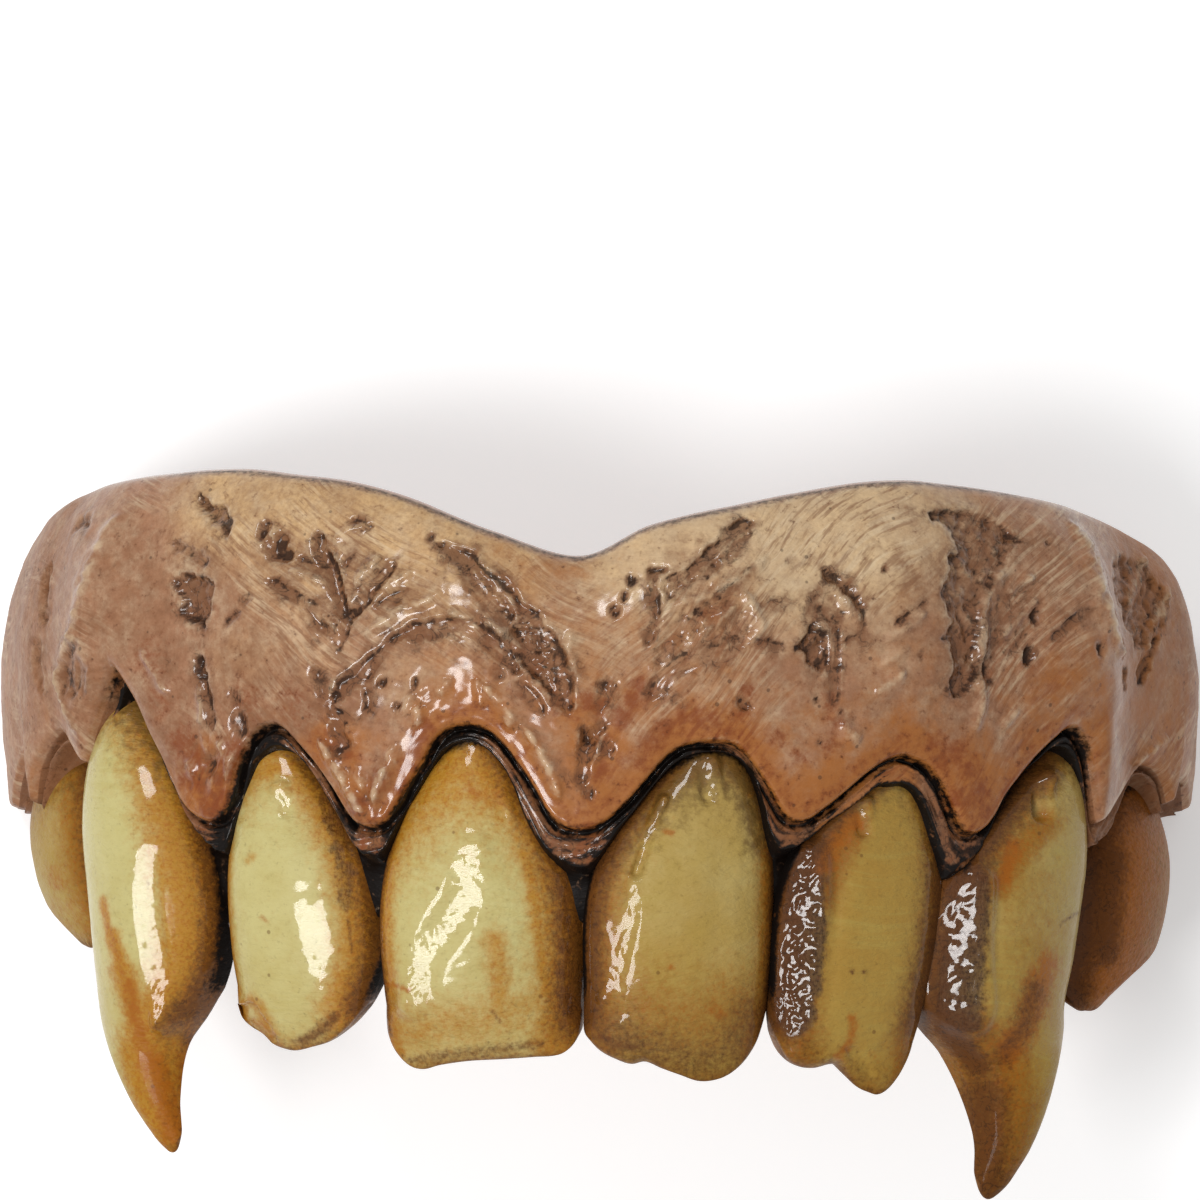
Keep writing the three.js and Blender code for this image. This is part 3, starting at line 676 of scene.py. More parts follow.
def worked_clay(spots):
    """Relief, wash, ink and painted shadow, and painted ridge highlights at (along, height) gum spots."""
    flat = np.column_stack([spots, np.zeros(len(spots))])
    wobble = WOBBLE * lumps(flat, 0.7, 1, 2)
    crumbs = lumps(flat, 0.45, 2, 3)
    clouds = lumps(flat, 1.3, 9, 2)
    sunk, raised, wash, ink_and_shadow, painted_glint = np.zeros((5, len(spots)))
    for half, depth, stain, pixels in FURROWS:
        line = rounded(traced(pixels, GUM_OUT))
        i = near(line, spots, 3 * half + 1)
        apart, share, side = from_line(line, spots[i])
        width = half * (0.4 + 0.6 * np.sin(math.pi * share) ** 0.5) * (1 + 0.5 * clouds[i])
        lean = np.where(side > 0, 0.75, 1.35)
        reach = (apart + 1.5 * wobble[i] * (0.4 + half)) / (np.clip(width, 0.1, None) * lean)
        comb = combed(line, side * apart, share)
        dent = np.clip(1 - reach**2, 0, 1) * (0.7 + 0.4 * clouds[i] + 0.2 * crumbs[i])
        sunk[i] = np.maximum(sunk[i], FURROW_DEPTH * depth * dent)
        raised[i] += COMB * comb * ramp(-reach, -1.5, -0.9)
        burr = np.exp(-(((reach - 1.25) / 0.3) ** 2)) * ramp(crumbs[i] + 0.6 * side, -0.1, 0.5)
        raised[i] += BURR * depth * burr
        faded = stain * (0.8 + 0.5 * clouds[i] - 0.3 * comb)
        wash[i] = np.maximum(wash[i], faded * ramp(-reach, -3, -0.5))
        inked = np.exp(-(((side * reach - 0.4) / 0.4) ** 2))
        ink_and_shadow[i] = np.maximum(ink_and_shadow[i], stain * inked * ramp(crumbs[i] + 0.5 * clouds[i], -0.45, 0.2))
    for half, height, pixels in RIDGES:
        line = rounded(traced(pixels, GUM_OUT))
        i = near(line, spots, 3 * half + 1)
        apart, share, _ = from_line(line, spots[i])
        width = half * (0.35 + 0.65 * np.sin(math.pi * share) ** 0.5) * (1 + 0.3 * clouds[i])
        reach = (apart + 1.3 * wobble[i] * half) / width
        raised[i] += height * np.exp(-(reach**2) * 1.2) * (0.8 + 0.4 * crumbs[i])
        # a pale painted highlight along the top of the ridge
        painted_glint[i] = np.maximum(painted_glint[i], 2 * height * np.exp(-(reach**2) * 3) * (0.8 + 0.6 * crumbs[i]))
    for depth, soft, stain, pixels in TORN_PATCHES:
        outline = traced(pixels, GUM_OUT)
        i = near(outline, spots, 1.5)
        deep = inside(outline, spots[i]) + 2.2 * wobble[i]
        share = ramp(deep, 0, soft)
        sunk[i] = np.maximum(sunk[i], FURROW_DEPTH * depth * share * (1 + 0.7 * crumbs[i]))
        raised[i] += 0.3 * BURR * np.exp(-(((deep + 0.2) / 0.18) ** 2)) * ramp(crumbs[i], -0.3, 0.3)
        wash[i] = np.maximum(wash[i], stain * ramp(deep, -0.9, 0.3 + soft) * (0.8 + 0.5 * clouds[i]))
        # painted shadow in a ring just inside the patch's edge, broken up by noise
        shaded_side = np.exp(-(((deep - 0.12) / 0.14) ** 2)) * ramp(clouds[i], -0.3, 0.3)
        floor_ink = share * ramp(-crumbs[i], 0.15, 0.7)
        ink_and_shadow[i] = np.maximum(ink_and_shadow[i], stain * np.maximum(0.8 * shaded_side, floor_ink))
    for radius, depth, stain, places in PITS:
        for spot in traced(places, GUM_OUT):
            i = near(spot[None], spots, 3 * radius + 0.3)
            squashed = (spots[i] - spot) * (1, 1 + 0.5 * math.sin(40 * spot[0]))
            reach = (np.hypot(*squashed.T) + 1.8 * wobble[i]) / radius
            sunk[i] = np.maximum(sunk[i], 0.8 * depth * np.clip(1 - reach**2, 0, 1))
            wash[i] = np.maximum(wash[i], 0.8 * stain * ramp(-reach, -2, -0.6))
            ink_and_shadow[i] = np.maximum(ink_and_shadow[i], stain * ramp(-reach, -0.8, -0.2) * ramp(crumbs[i], -0.5, 0.1))
    return raised - sunk, np.clip(wash, 0, 1), np.clip(ink_and_shadow, 0, 1), np.clip(painted_glint, 0, 1)


def blurred(field, passes):
    """A grid of values, each replaced again and again by the mean of its neighbours."""
    for _ in range(passes):
        wide = np.pad(field, 1, mode="edge")
        field = (wide[:-2, 1:-1] + wide[2:, 1:-1] + wide[1:-1, :-2] + wide[1:-1, 2:] + 2 * field) / 6
    return field


# %% [markdown]
# The section of the tray is a closed loop: up the face of the gum, over the rim, down the wall inside,
# across the floor of the channel, over the low inner wall, back under the floor and up the collar
# round the teeth. The two ends of the tray are flat, because the object lies on them.

# %% The gum and the tray
GUM_COLUMNS = 600
# how evenly the columns are spaced: below 1 they crowd towards the front
FRONT_CROWDING = 0.8
FACE_ROWS = 106
# how quickly the rows of the face forget the scallops of the lower edge, going up
ROW_EVENING = 1.5
# heights of the gum's own waves, of its grain and of the gathered varnish
SWELL, GRAIN, BEADS = 0.1, 0.02, 0.16
LIP_RADIUS = 0.35
RIM_RADIUS = 0.55
RIM_TOP = 0.9
TOOTH_BACK = -1.6
# where the skin ends, in the crack behind the necks of the teeth
CRACK_BACK, CRACK_BELOW_NECK = -0.9, 0.3


def quarter(distance, radius):
    """How far a rounded edge has fallen back at a distance from the edge."""
    gone = np.clip(1 - distance / radius, 0, 1)
    return radius * (1 - np.sqrt(1 - gone**2))


def run(start, end, count):
    """Rows from one (out, height) corner of the section towards the next."""
    return [
        tuple(np.asarray(a) + (np.asarray(b) - a) * k / count for a, b in zip(start, end))
        for k in range(count)
    ]


even = np.linspace(-1, 1, GUM_COLUMNS + 1)
along = ARCH_END * (FRONT_CROWDING * even + (1 - FRONT_CROWDING) * even**3)
flat_noise = np.column_stack([along, np.zeros((len(along), 2))])
ragged = 0.05 * lumps(flat_noise, 1.2, 3, 3) * ramp(ARCH_END - np.abs(along), 0, 3)
edge = followed(LIP_LINE, along, gum_edge(along)) + ragged
neck = np.minimum(followed(NECK_LINE, along, edge - NARROWEST_GROOVE), edge - NARROWEST_GROOVE)
rim = curve(RIM, along) + 0.12 * lumps(flat_noise, 5, 4, 2) * ramp(ARCH_END - np.abs(along), 0, 3)

share = np.linspace(0, 1, FACE_ROWS)[None, :]
foot = GUM_MEAN_EDGE + (edge[:, None] - GUM_MEAN_EDGE) * (1 - share) ** ROW_EVENING
face_height = foot + (rim[:, None] - foot) * share
face_along = np.broadcast_to(along[:, None], face_height.shape)
above_edge = face_height - edge[:, None]
spots = np.stack([face_along, face_height], -1).reshape(-1, 2)
relief, wash, ink_and_shadow, painted_glint = (field.reshape(face_height.shape) for field in worked_clay(spots))
solid_spots = place(face_along.ravel(), 0.0, face_height.ravel())
swell = SWELL * lumps(solid_spots, 3.2, 5, 2).reshape(relief.shape)
grain = GRAIN * lumps(solid_spots, 0.5, 6, 3).reshape(relief.shape)
wet = glow(spots, WET, GUM_OUT).reshape(relief.shape)
beads = BEADS * wet * lumps(solid_spots, 0.5, 16, 2).reshape(relief.shape)
relief = (relief + swell + grain + beads) * (0.35 + 0.65 * ramp(above_edge, 0.1, 0.6))
relief = relief * (0.4 + 0.6 * ramp(rim[:, None] - face_height, 0, 0.8))
face_out = gum_face(along[:, None], share) + relief
face_out = face_out - quarter(above_edge, LIP_RADIUS) - quarter(rim[:, None] - face_height, RIM_RADIUS)
print("relief from", relief.min().round(2), "to", relief.max().round(2), "mm")

# %% The rows of the section
lip = gum_face(along, 0) + relief[:, 0]
ones = np.ones_like(along)
shoulder = face_out[:, -1]
inner_face = WALL_BACK - CHANNEL_WIDTH
back = inner_face - INNER_WALL

# Between the lip and the neck of the teeth: a deep groove right under the lip, then strands
COLLAR_ROWS = 16
GROOVE_BELOW_LIP, GROOVE_HALF_WIDTH = 0.17, 0.13
GROOVE_DEPTH, STRAND_HEIGHT = 0.42, 0.17
STRAND_LENGTH, STRAND_WIDTH = 1.6, 0.16
COLLAR_BACK = 0.42
share_down = np.linspace(1, 0, COLLAR_ROWS + 1)[None, :-1]
steepness = np.hypot(1, np.gradient(blurred(edge[:, None], 8)[:, 0], along))[:, None]
drop = (edge - neck)[:, None]
collar_height = edge[:, None] - drop * share_down
below_lip = drop * share_down / steepness
strand_along = np.broadcast_to(along[:, None], below_lip.shape) / STRAND_LENGTH
strand_noise = np.stack([strand_along, below_lip / STRAND_WIDTH, 0 * below_lip], -1)
strands = lumps(strand_noise.reshape(-1, 3), 1, 21, 2).reshape(below_lip.shape)
uneven_groove = lumps(flat_noise, 0.45, 22, 3)[:, None]
groove = np.exp(-(((below_lip - GROOVE_BELOW_LIP) / GROOVE_HALF_WIDTH) ** 2))
groove = groove * np.clip(0.8 + 0.7 * uneven_groove, 0.2, 1.2)
collar_back = COLLAR_BACK + GROOVE_DEPTH * groove + STRAND_HEIGHT * strands * (1 - groove)
collar_back += 0.5 * ramp(share_down, 0.85, 1)
collar_out = lip[:, None] - LIP_RADIUS - (collar_back - 0.2) * ramp(below_lip, 0, 0.1)
crevice_below = np.clip(groove + ramp(share_down, 0.7, 0.95) + 0.6 * ramp(-strands, 0, 0.4), 0, 1)

corners = [
    ((shoulder, rim), 3),
    ((shoulder - RIM_TOP, rim), 3),
    ((WALL_BACK * ones, rim - ROUNDING), 7),
    ((WALL_BACK * ones, FLOOR_HEIGHT * ones), 5),
    ((inner_face * ones, FLOOR_HEIGHT * ones), 4),
    ((inner_face * ones, (INNER_WALL_HEIGHT - ROUNDING) * ones), 2),
    (((inner_face + back) / 2 * ones, INNER_WALL_HEIGHT * ones), 2),
    ((back * ones, (INNER_WALL_HEIGHT - ROUNDING) * ones), 4),
    ((back * ones, (TRAY_UNDERSIDE + ROUNDING) * ones), 2),
    (((back + ROUNDING) * ones, TRAY_UNDERSIDE * ones), 5),
    (((TOOTH_BACK + 0.2) * ones, TRAY_UNDERSIDE * ones), 4),
    ((CRACK_BACK * ones, neck - CRACK_BELOW_NECK), 0),
]
tray_rows = []
for (corner, count), (following, _) in zip(corners[:-1], corners[1:]):
    tray_rows += run(corner, following, count)
tray_rows.append(corners[-1][0])
outs = np.stack([row[0] for row in tray_rows], 1)
heights = np.stack([row[1] for row in tray_rows], 1)
for _ in range(2):
    outs[:, 2:-1] = (outs[:, 1:-2] + 2 * outs[:, 2:-1] + outs[:, 3:]) / 4
    heights[:, 2:-1] = (heights[:, 1:-2] + 2 * heights[:, 2:-1] + heights[:, 3:]) / 4

loop_out = np.hstack([face_out[:, :-1], outs, collar_out])
loop_height = np.hstack([face_height[:, :-1], heights, collar_height])
GUM_ROWS = loop_out.shape[1]
print("section rows:", GUM_ROWS, "triangles:", 2 * GUM_ROWS * GUM_COLUMNS)

# %% [markdown]
# The grid is made by a bmesh operator and every point of it is then moved to its place on the section.
# Paint is remembered on the points too: attributes say where the wash and the ink lie, where the gum
# turns to rust near the teeth, where the base coat is thin and yellow, where the varnish is matt, and
# which part is the inside. They are soft masks, and the material breaks them up into brush marks.


# %% Helpers for meshes
def paint(mesh, name, values):
    """Keeps one number for each point of the mesh, for its material to read."""
    layer = mesh.attributes.new(name, "FLOAT", "POINT")
    layer.data.foreach_set("value", np.ascontiguousarray(values, np.float32))


def move_points(mesh, points):
    """Puts the mesh's points at places given in millimetres."""
    mesh.vertices.foreach_set("co", (np.asarray(points, float) * MM).ravel())
    mesh.update()


def points_of(mesh):
    """The mesh's points as rows of x, y and z."""
    found = np.empty(len(mesh.vertices) * 3)
    mesh.vertices.foreach_get("co", found)
    return found.reshape(-1, 3)


def finished(mesh, name, material):
    """Puts a mesh into the scene as a smooth piece of the casting."""
    piece = bpy.data.objects.new(name, mesh)
    bpy.context.scene.collection.objects.link(piece)
    mesh.shade_smooth()
    mesh.materials.append(material)
    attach(piece, "root")
    size = np.ptp(points_of(mesh), 0) / MM
    print(name, "points:", len(mesh.vertices), "size in mm:", size.round(2))
    return piece


# %% Where the paint of the gum changes
# Soft blots of strength, radius in millimetres and places: rust, a thin yellow base coat, brown grime
# with painted shade at the two outer ends and in deeper places, and small brown blots
RUST = [
    (1, 2, [(598, 752), (600, 790), (590, 830)]),
    (0.8, 1.6, [(560, 812), (625, 800), (575, 715)]),
    (1, 2, [(975, 770), (985, 800), (962, 812)]),
    (0.9, 1.6, [(812, 790), (790, 800), (840, 778), (700, 735)]),
    (0.7, 1.5, [(668, 745), (735, 742), (870, 762), (1010, 790)]),
    (1, 1.6, [(204, 775), (196, 790), (212, 800), (335, 748)]),
    (0.7, 1.2, [(366, 820), (352, 790), (420, 740), (398, 770)]),
    (0.55, 2.5, [(600, 690), (640, 700), (560, 700)]),
    (0.65, 5, [(1150, 600), (1140, 690), (1170, 560), (1090, 720), (1170, 740)]),
    (0.4, 3.5, [(620, 640), (720, 690), (700, 640), (800, 740), (540, 560)]),
    (0.6, 1.2, [(1072, 800), (1065, 820)]),
]
THIN = [
    (1, 4, [(230, 490), (300, 490), (390, 510), (470, 540), (640, 545), (720, 510), (800, 500), (880, 500)]),
    (0.7, 4, [(300, 560), (420, 560), (640, 580), (740, 560), (850, 540), (930, 530)]),
    (1, 3.5, [(770, 510), (830, 520), (800, 560), (880, 540)]),
    (0.4, 4, [(280, 640), (440, 660), (700, 620), (860, 600), (600, 640)]),
]
# brown grime round the marks, and painted shade at the two outer ends and in deeper places of the gum
GRIME_AND_SHADE = [
    (0.5, 4, [(150, 640), (130, 600), (940, 600)]),
    (0.6, 3, [(150, 720), (170, 670), (250, 680), (300, 700)]),
    (0.8, 2, [(204, 760), (204, 790), (360, 800), (380, 790)]),
    (0.7, 2.4, [(250, 722), (300, 744), (330, 706), (160, 740)]),
    (0.4, 3.5, [(900, 730), (960, 720), (1010, 740), (1050, 730), (1130, 640), (1150, 700)]),
    (0.5, 5, [(1150, 600), (1140, 690), (1170, 560), (1180, 640)]),
    (0.5, 5, [(50, 560), (44, 620), (20, 600), (24, 680)]),
    (0.6, 3, [(960, 660), (960, 600), (990, 560), (84, 700), (60, 700), (1110, 760)]),
    (0.55, 1.5, [(200, 560), (196, 600), (204, 690), (290, 570), (330, 590), (350, 560), (350, 690)]),
    (0.5, 1.5, [(372, 660), (420, 640), (470, 600), (510, 640), (540, 680), (690, 560), (720, 610)]),
    (0.5, 1.5, [(830, 610), (820, 650), (860, 640), (1020, 610), (1060, 620), (270, 545), (400, 600)]),
]
BLOTS = [
    (0.9, 0.9, [(178, 742), (190, 760), (186, 778), (212, 800), (226, 770), (232, 752), (204, 812)]),
    (0.5, 1, [(160, 700), (150, 660), (240, 700), (290, 706), (320, 740), (380, 780), (372, 820)]),
    (1, 0.5, [(413, 752), (418, 738), (405, 768), (424, 727), (400, 786), (590, 830), (575, 836)]),
    (0.9, 0.6, [(588, 700), (600, 706), (632, 700), (640, 688), (620, 716), (604, 744), (602, 770)]),
    (0.8, 0.6, [(668, 728), (684, 718), (700, 716), (715, 722), (730, 730), (652, 744), (642, 760)]),
    (0.7, 0.5, [(748, 690), (742, 712), (830, 700), (836, 722), (832, 746), (800, 758), (780, 738)]),
    (0.9, 0.6, [(196, 784), (206, 792), (214, 780), (200, 802), (336, 744), (345, 752), (356, 806)]),
    (0.8, 0.7, [(948, 760), (960, 752), (972, 768), (984, 790), (990, 812), (962, 800), (940, 744)]),
    (0.5, 0.5, [(520, 696), (548, 700), (556, 712), (575, 716), (560, 700), (620, 760), (590, 800)]),
]

# %% Masks for the paint of the gum
# -1 at the left foot of each scallop, 0 at its top and 1 at its right foot
in_scallop = np.zeros_like(along)
for i, tooth in enumerate(TEETH.values()):
    from_apex = along - tooth["apex"][0]
    feet = PAPILLA_TURNS[i : i + 2] - tooth["apex"][0]
    within = (from_apex >= feet[0]) & (from_apex <= feet[1])
    in_scallop = np.where(within, from_apex / np.where(from_apex < 0, -feet[0], feet[1]), in_scallop)
at_point = ramp(np.abs(in_scallop), 0.75, 0.95)[:, None]
# the stretch of the arch where the collar is dark, and the part of it that was left bare and tan
in_front = (ramp(along, -25.3, -24.3) * ramp(-along, -25.4, -24.2))[:, None]
tan_strip = (ramp(along, 9.4, 10.2) * ramp(-along, -15.6, -14.4))[:, None]
on_right = np.maximum(ramp(in_scallop, 0, 0.3)[:, None], tan_strip)
black_side = (1 - on_right) * (1 - 0.7 * at_point)

# how far each spot of the relief lies below its neighbours, near ones and far ones, and above them
NEAR_BLUR, FAR_BLUR, CREST_BLUR = 6, 60, 25
ripple = blurred(relief, NEAR_BLUR) - relief
basin = blurred(relief, FAR_BLUR) - relief
hollow = np.clip(ripple / 0.07, 0, 1) * 0.5 + np.clip(basin / 0.22, 0, 1) * 0.5
proud = np.clip((relief - blurred(relief, CREST_BLUR)) / 0.12, 0, 1)
close_to_lip = np.exp(-np.clip(above_edge, 0, None) / 1.3)
on_flushed = ramp(face_along, -14, -6) * ramp(26 - np.abs(face_along), 0, 6)
lip_blots = np.exp(-(((above_edge - 0.7) / 0.55) ** 2)) * on_flushed
face_paint = {
    "wash": np.clip(0.9 * wash + 0.5 * hollow, 0, 1),
    "ink_and_shadow": np.clip(0.9 * ink_and_shadow + 0.5 * ramp(ripple, 0.04, 0.1), 0, 1),
    # pale dry brush on raised places, and painted highlights along the ridges
    "proud": np.maximum(0.45 * proud, painted_glint),
    "rust": np.maximum(
        glow(spots, RUST, GUM_OUT).reshape(relief.shape),
        (0.8 * close_to_lip + 0.6 * close_to_lip**0.35) * (0.15 + 0.85 * on_flushed),
    ),
    "blots": np.maximum(glow(spots, BLOTS, GUM_OUT).reshape(relief.shape), 0.42 * lip_blots),
    "left half": ramp(-face_along, -3, 3),
    "thin": glow(spots, THIN, GUM_OUT).reshape(relief.shape),
    # brown grime round the marks, and painted shade at the two outer ends and in deeper places
    "grime_and_shade": glow(spots, GRIME_AND_SHADE, GUM_OUT).reshape(relief.shape),
    "crevice": 0.7 * in_front * np.exp(-np.clip(above_edge, 0, None) / 0.12),
    "inner": np.zeros_like(relief),
    "matt": ramp(np.abs(face_along), 24, 30) * np.ones_like(relief),
}
under_rim = ramp(rim[:, None] - face_height, 0.5, 0.1) * ramp(24 - np.abs(face_along), 0, 4)
face_paint["wash"] = np.maximum(face_paint["wash"], 0.75 * under_rim)
face_paint["ink_and_shadow"] = np.maximum(face_paint["ink_and_shadow"], 0.55 * under_rim)
black_strands = (0.95 - 0.3 * ramp(strands, 0.1, 0.6)) * black_side
collar_paint = {
    "wash": (0.4 + 0.6 * in_front * (1 - 0.5 * ramp(strands, 0, 0.5))) * (1 - 0.75 * tan_strip),
    "ink_and_shadow": in_front * (0.15 + 0.6 * ramp(-strands, -0.1, 0.4)) * (1 - 0.6 * tan_strip),
    "rust": in_front * np.maximum(0.9 * at_point, 0.5 + 0.4 * tan_strip),
    # painted shade on the collar outside the dark stretch at the front
    "grime_and_shade": 1 - in_front,
    "matt": 1 - in_front,
    "crevice": in_front * np.maximum(crevice_below, black_strands),
}
tray_paint = {"wash": 0.1, "thin": 0.2, "inner": 1}
# in the hidden gap: black in the crack at the front, painted shade at the sides
gap_paint = {"crevice": in_front, "grime_and_shade": 1 - in_front, "matt": 1}
# the rows between the underside of the tray and the neck, which are hidden in the crack
GAP_ROWS = 5
print("wash covers", round(float((face_paint["wash"] > 0.5).mean() * 100)), "% of the gum's face")


# %% Build the gum and tray
SAME_PLACE = 0.002


def gum_and_tray(material):
    """A grid bent round the arch and closed into a ring, with the masks of its paint."""
    grid = bmesh.new()
    bmesh.ops.create_grid(grid, x_segments=GUM_COLUMNS, y_segments=GUM_ROWS, size=1)
    mesh = bpy.data.meshes.new("gum_and_tray")
    grid.to_mesh(mesh)
    x, y, _ = points_of(mesh).T
    column = np.rint((x + 1) / 2 * GUM_COLUMNS).astype(int)
    row = np.rint((y + 1) / 2 * GUM_ROWS).astype(int) % GUM_ROWS
    places = place(along[column], loop_out[column, row], loop_height[column, row])
    inside_rows = row >= FACE_ROWS + 3
    uneven = 0.05 * lumps(places, 2.2, 8, 2) * inside_rows * ramp(places[:, 2], 0.5, 3)
    outward = loop_out[column, row] + uneven
    move_points(mesh, place(along[column], outward, loop_height[column, row] + uneven))
    for name, values in face_paint.items():
        rows = np.full((len(along), GUM_ROWS), float(tray_paint.get(name, 0)))
        rows[:, : FACE_ROWS - 1] = values[:, :-1]
        rows[:, -COLLAR_ROWS:] = collar_paint.get(name, 0)
        rows[:, -COLLAR_ROWS - GAP_ROWS : -COLLAR_ROWS] = gap_paint.get(name, 0)
        paint(mesh, name, rows[column, row])
    grid.clear()
    grid.from_mesh(mesh)
    bmesh.ops.remove_doubles(grid, verts=grid.verts, dist=SAME_PLACE * MM)
    open_edges = [e for e in grid.edges if e.is_boundary]
    bmesh.ops.holes_fill(grid, edges=open_edges, sides=0)
    bmesh.ops.recalc_face_normals(grid, faces=grid.faces)
    print("open edges closed:", len(open_edges), "left:", sum(e.is_boundary for e in grid.edges))
    grid.to_mesh(mesh)
    grid.free()
    return finished(mesh, "gum_and_tray", material)

# %% [markdown]
# A tooth is a sphere pulled into shape. Each ring of the sphere becomes a section of the tooth, a
# rounded square between its left and right side, and the last ring is drawn out along the biting
# edge. The lowest point is removed, and on the ring round it every point behind is welded to the one
# in front of it. That leaves a clean thin edge that can follow any chip. The sphere's rings crowd
# towards the edge, where the shape turns quickest.

# %% Shape of a tooth
TOOTH_SIDES = 220
TOOTH_ROWS = 170
EDGE_ROUNDING = 0.55
EDGE_LENGTHENED = 0.15
CORNER = 0.035
TOOTH_SPINE = 0.2
LIP_OVERHANG = 0.4
print("tooth triangles:", 2 * TOOTH_SIDES * TOOTH_ROWS)

# squareness of the section, how deep its front bulges, how far it is turned to the right at the neck
# and at the edge, how far its belly comes forward, and grooves down its face as (across, depth)
FACES = {
    "left_premolar": (2.2, 2.6, (0, 0), 0, []),
    "left_fang": (2, 4, (0.5, -0.4), 0.5, [(0.66, 0.04)]),
    "left_lateral": (2.2, 2.4, (0.6, 0.6), 0, [(0.3, 0.05)]),
    "left_central": (2.2, 2.3, (0, 1.3), 0, [(-0.5, 0.02), (0.4, 0.05)]),
    "right_central": (2.3, 2.4, (0, 0.6), 0, [(-0.66, 0.1), (0.3, 0.06)]),
    "right_lateral": (2.6, 2, (0, 0), 0, [(-0.5, 0.2)]),
    "right_fang": (2.3, 3.6, (0.2, -0.1), 0, [(-0.5, 0.15)]),
    "right_premolar": (2.2, 2.6, (0, 0), 0, []),
}

# %% Wear of the teeth
# depth, softness, outline in pixels: flat chips and worn facets
CHIPS = {
    "left_lateral": [
        (0.28, 0.2, [(236, 1004), (252, 998), (263, 1012), (283, 1050), (258, 1040), (234, 1022)]),
    ],
    "left_fang": [
        (0.35, 0.5, [(188, 1046), (196, 1000), (206, 955), (224, 950), (226, 1000), (196, 1060)]),
    ],
    "right_central": [(0.1, 0.3, [(640, 1050), (668, 1046), (700, 1072), (660, 1080)])],
    "right_lateral": [(0.15, 0.3, [(842, 1046), (866, 1040), (884, 1094), (852, 1090)])],
    "right_fang": [(0.2, 0.4, [(955, 1040), (985, 1052), (1000, 1080), (975, 1100), (955, 1060)])],
}
# height, half width, line in pixels: ridges down the face of a tooth
CRESTS = {
    "left_central": [(0.1, 0.25, [(500, 786), (508, 806), (514, 826)])],
    "right_lateral": [(0.2, 0.3, [(814, 858), (824, 890), (822, 930), (812, 970), (800, 1020)])],
    "right_fang": [(0.22, 0.35, [(968, 878), (978, 920), (984, 960), (990, 1010)])],
}
# half width, how far it rises to the right and upwards, line in pixels: planes that were rubbed
# flat. Each is turned so that it mirrors the window into the camera.
FLATS = {
    "left_fang": [
        (
            0.34, (0.084, 0.084),
            [(148, 850), (142, 880), (145, 920), (152, 954), (159, 988), (167, 1020)],
        ),
    ],
    "left_central": [
        (
            0.42, (0.166, 0.085),
            [(471, 850), (470, 890), (450, 922), (428, 948), (417, 972), (416, 1000)],
        ),
    ],
    "left_lateral": [(0.2, (0.12, 0.118), [(280, 790), (285, 808)])],
    "right_central": [
        (0.13, (0.218, 0.108), [(663, 800), (648, 836), (637, 872)]),
        (0.16, (0.214, 0.082), [(634, 886), (632, 918), (624, 950), (616, 976), (604, 998)]),
        (0.25, (0.236, 0.122), [(708, 764), (711, 794)]),
    ],
    "right_lateral": [
        (0.55, (0.265, 0.079), [(802, 862), (806, 900), (804, 950), (796, 1008)]),
        (0.2, (0.279, 0.113), [(864, 804), (866, 829)]),
    ],
    "right_fang": [
        (0.6, (0.306, 0.074), [(966, 888), (963, 930), (962, 970), (964, 1010)]),
        (0.22, (0.327, 0.118), [(1042, 778), (1045, 812)]),
    ],
}
# strength, half width, line in pixels: rough glossy flanks
ROUGH_FLANKS = {
    "right_lateral": [(1, 0.95, [(802, 862), (806, 900), (806, 940), (801, 980), (794, 1015)])],
    "right_fang": [(1, 0.95, [(964, 884), (966, 920), (963, 960), (960, 1014)])],
    "left_lateral": [(0.5, 0.5, [(326, 800), (340, 840), (348, 900)])],
    "left_central": [(0.4, 0.5, [(556, 890), (564, 940), (566, 1010)])],
}
print("worn planes:", sum(len(planes) for planes in FLATS.values()))


# %% Surface of a tooth
def tooth_surface(name, u, d, t):
    """How far along the arch, out and up a tooth's points are.

    u goes across the tooth, d from its back to its front, and t from its neck to its edge.
    """
    tooth = TEETH[name]
    kind = KINDS[tooth["kind"]]
    sides, edge_line = np.array(tooth["sides"], float), np.array(tooth["edge"], float)
    top, tip = sides[0, 0], edge_line[:, 1].min()
    left_foot, right_foot = edge_line[0, 1], edge_line[-1, 1]
    left_height, right_height = top + (left_foot - top) * t, top + (right_foot - top) * t
    left, right = curve(sides[:, :2], left_height), curve(sides[:, ::2], right_height)
    rounding = EDGE_ROUNDING / (top - tip)
    thin = np.sqrt(1 - np.clip((t - 1 + rounding) / rounding, 0, 1) ** 2)
    across = (u + 1) / 2
    at = left + (right - left) * (across + CORNER * (1 - 2 * across) * (1 - thin))
    height = left_height + (right_height - left_height) * across
    width = edge_line[-1, 0] - edge_line[0, 0]
    profile = np.column_stack([(edge_line[:, 0] - edge_line[0, 0]) / width, edge_line[:, 1]])
    level = left_foot + (right_foot - left_foot) * across
    height = height + t**3 * (curve(profile, across) - level - EDGE_LENGTHENED)
    share = np.clip((height - tip) / (top - tip), 0, 1)
    _, bulge, turned, forward, _ = FACES[name]
    front = curve(kind["face"], share) + forward * np.sin(math.pi * share)
    behind = front - curve(kind["thickness"], share)
    middle = np.maximum(front - bulge, behind + TOOTH_SPINE)
    core = (front + behind) / 2 * (1 - thin) + middle * thin
    out = core + d * np.where(d > 0, front - middle, middle - behind) * thin
    turn = turned[1] + (turned[0] - turned[1]) * share
    out = out - turn * u * np.sin(math.pi * share)
    in_tray = ramp(height, TRAY_UNDERSIDE - 0.3, TRAY_UNDERSIDE + LIP_OVERHANG)
    out = out + in_tray * np.clip(TOOTH_BACK - out, 0, None)
    return at, out, height


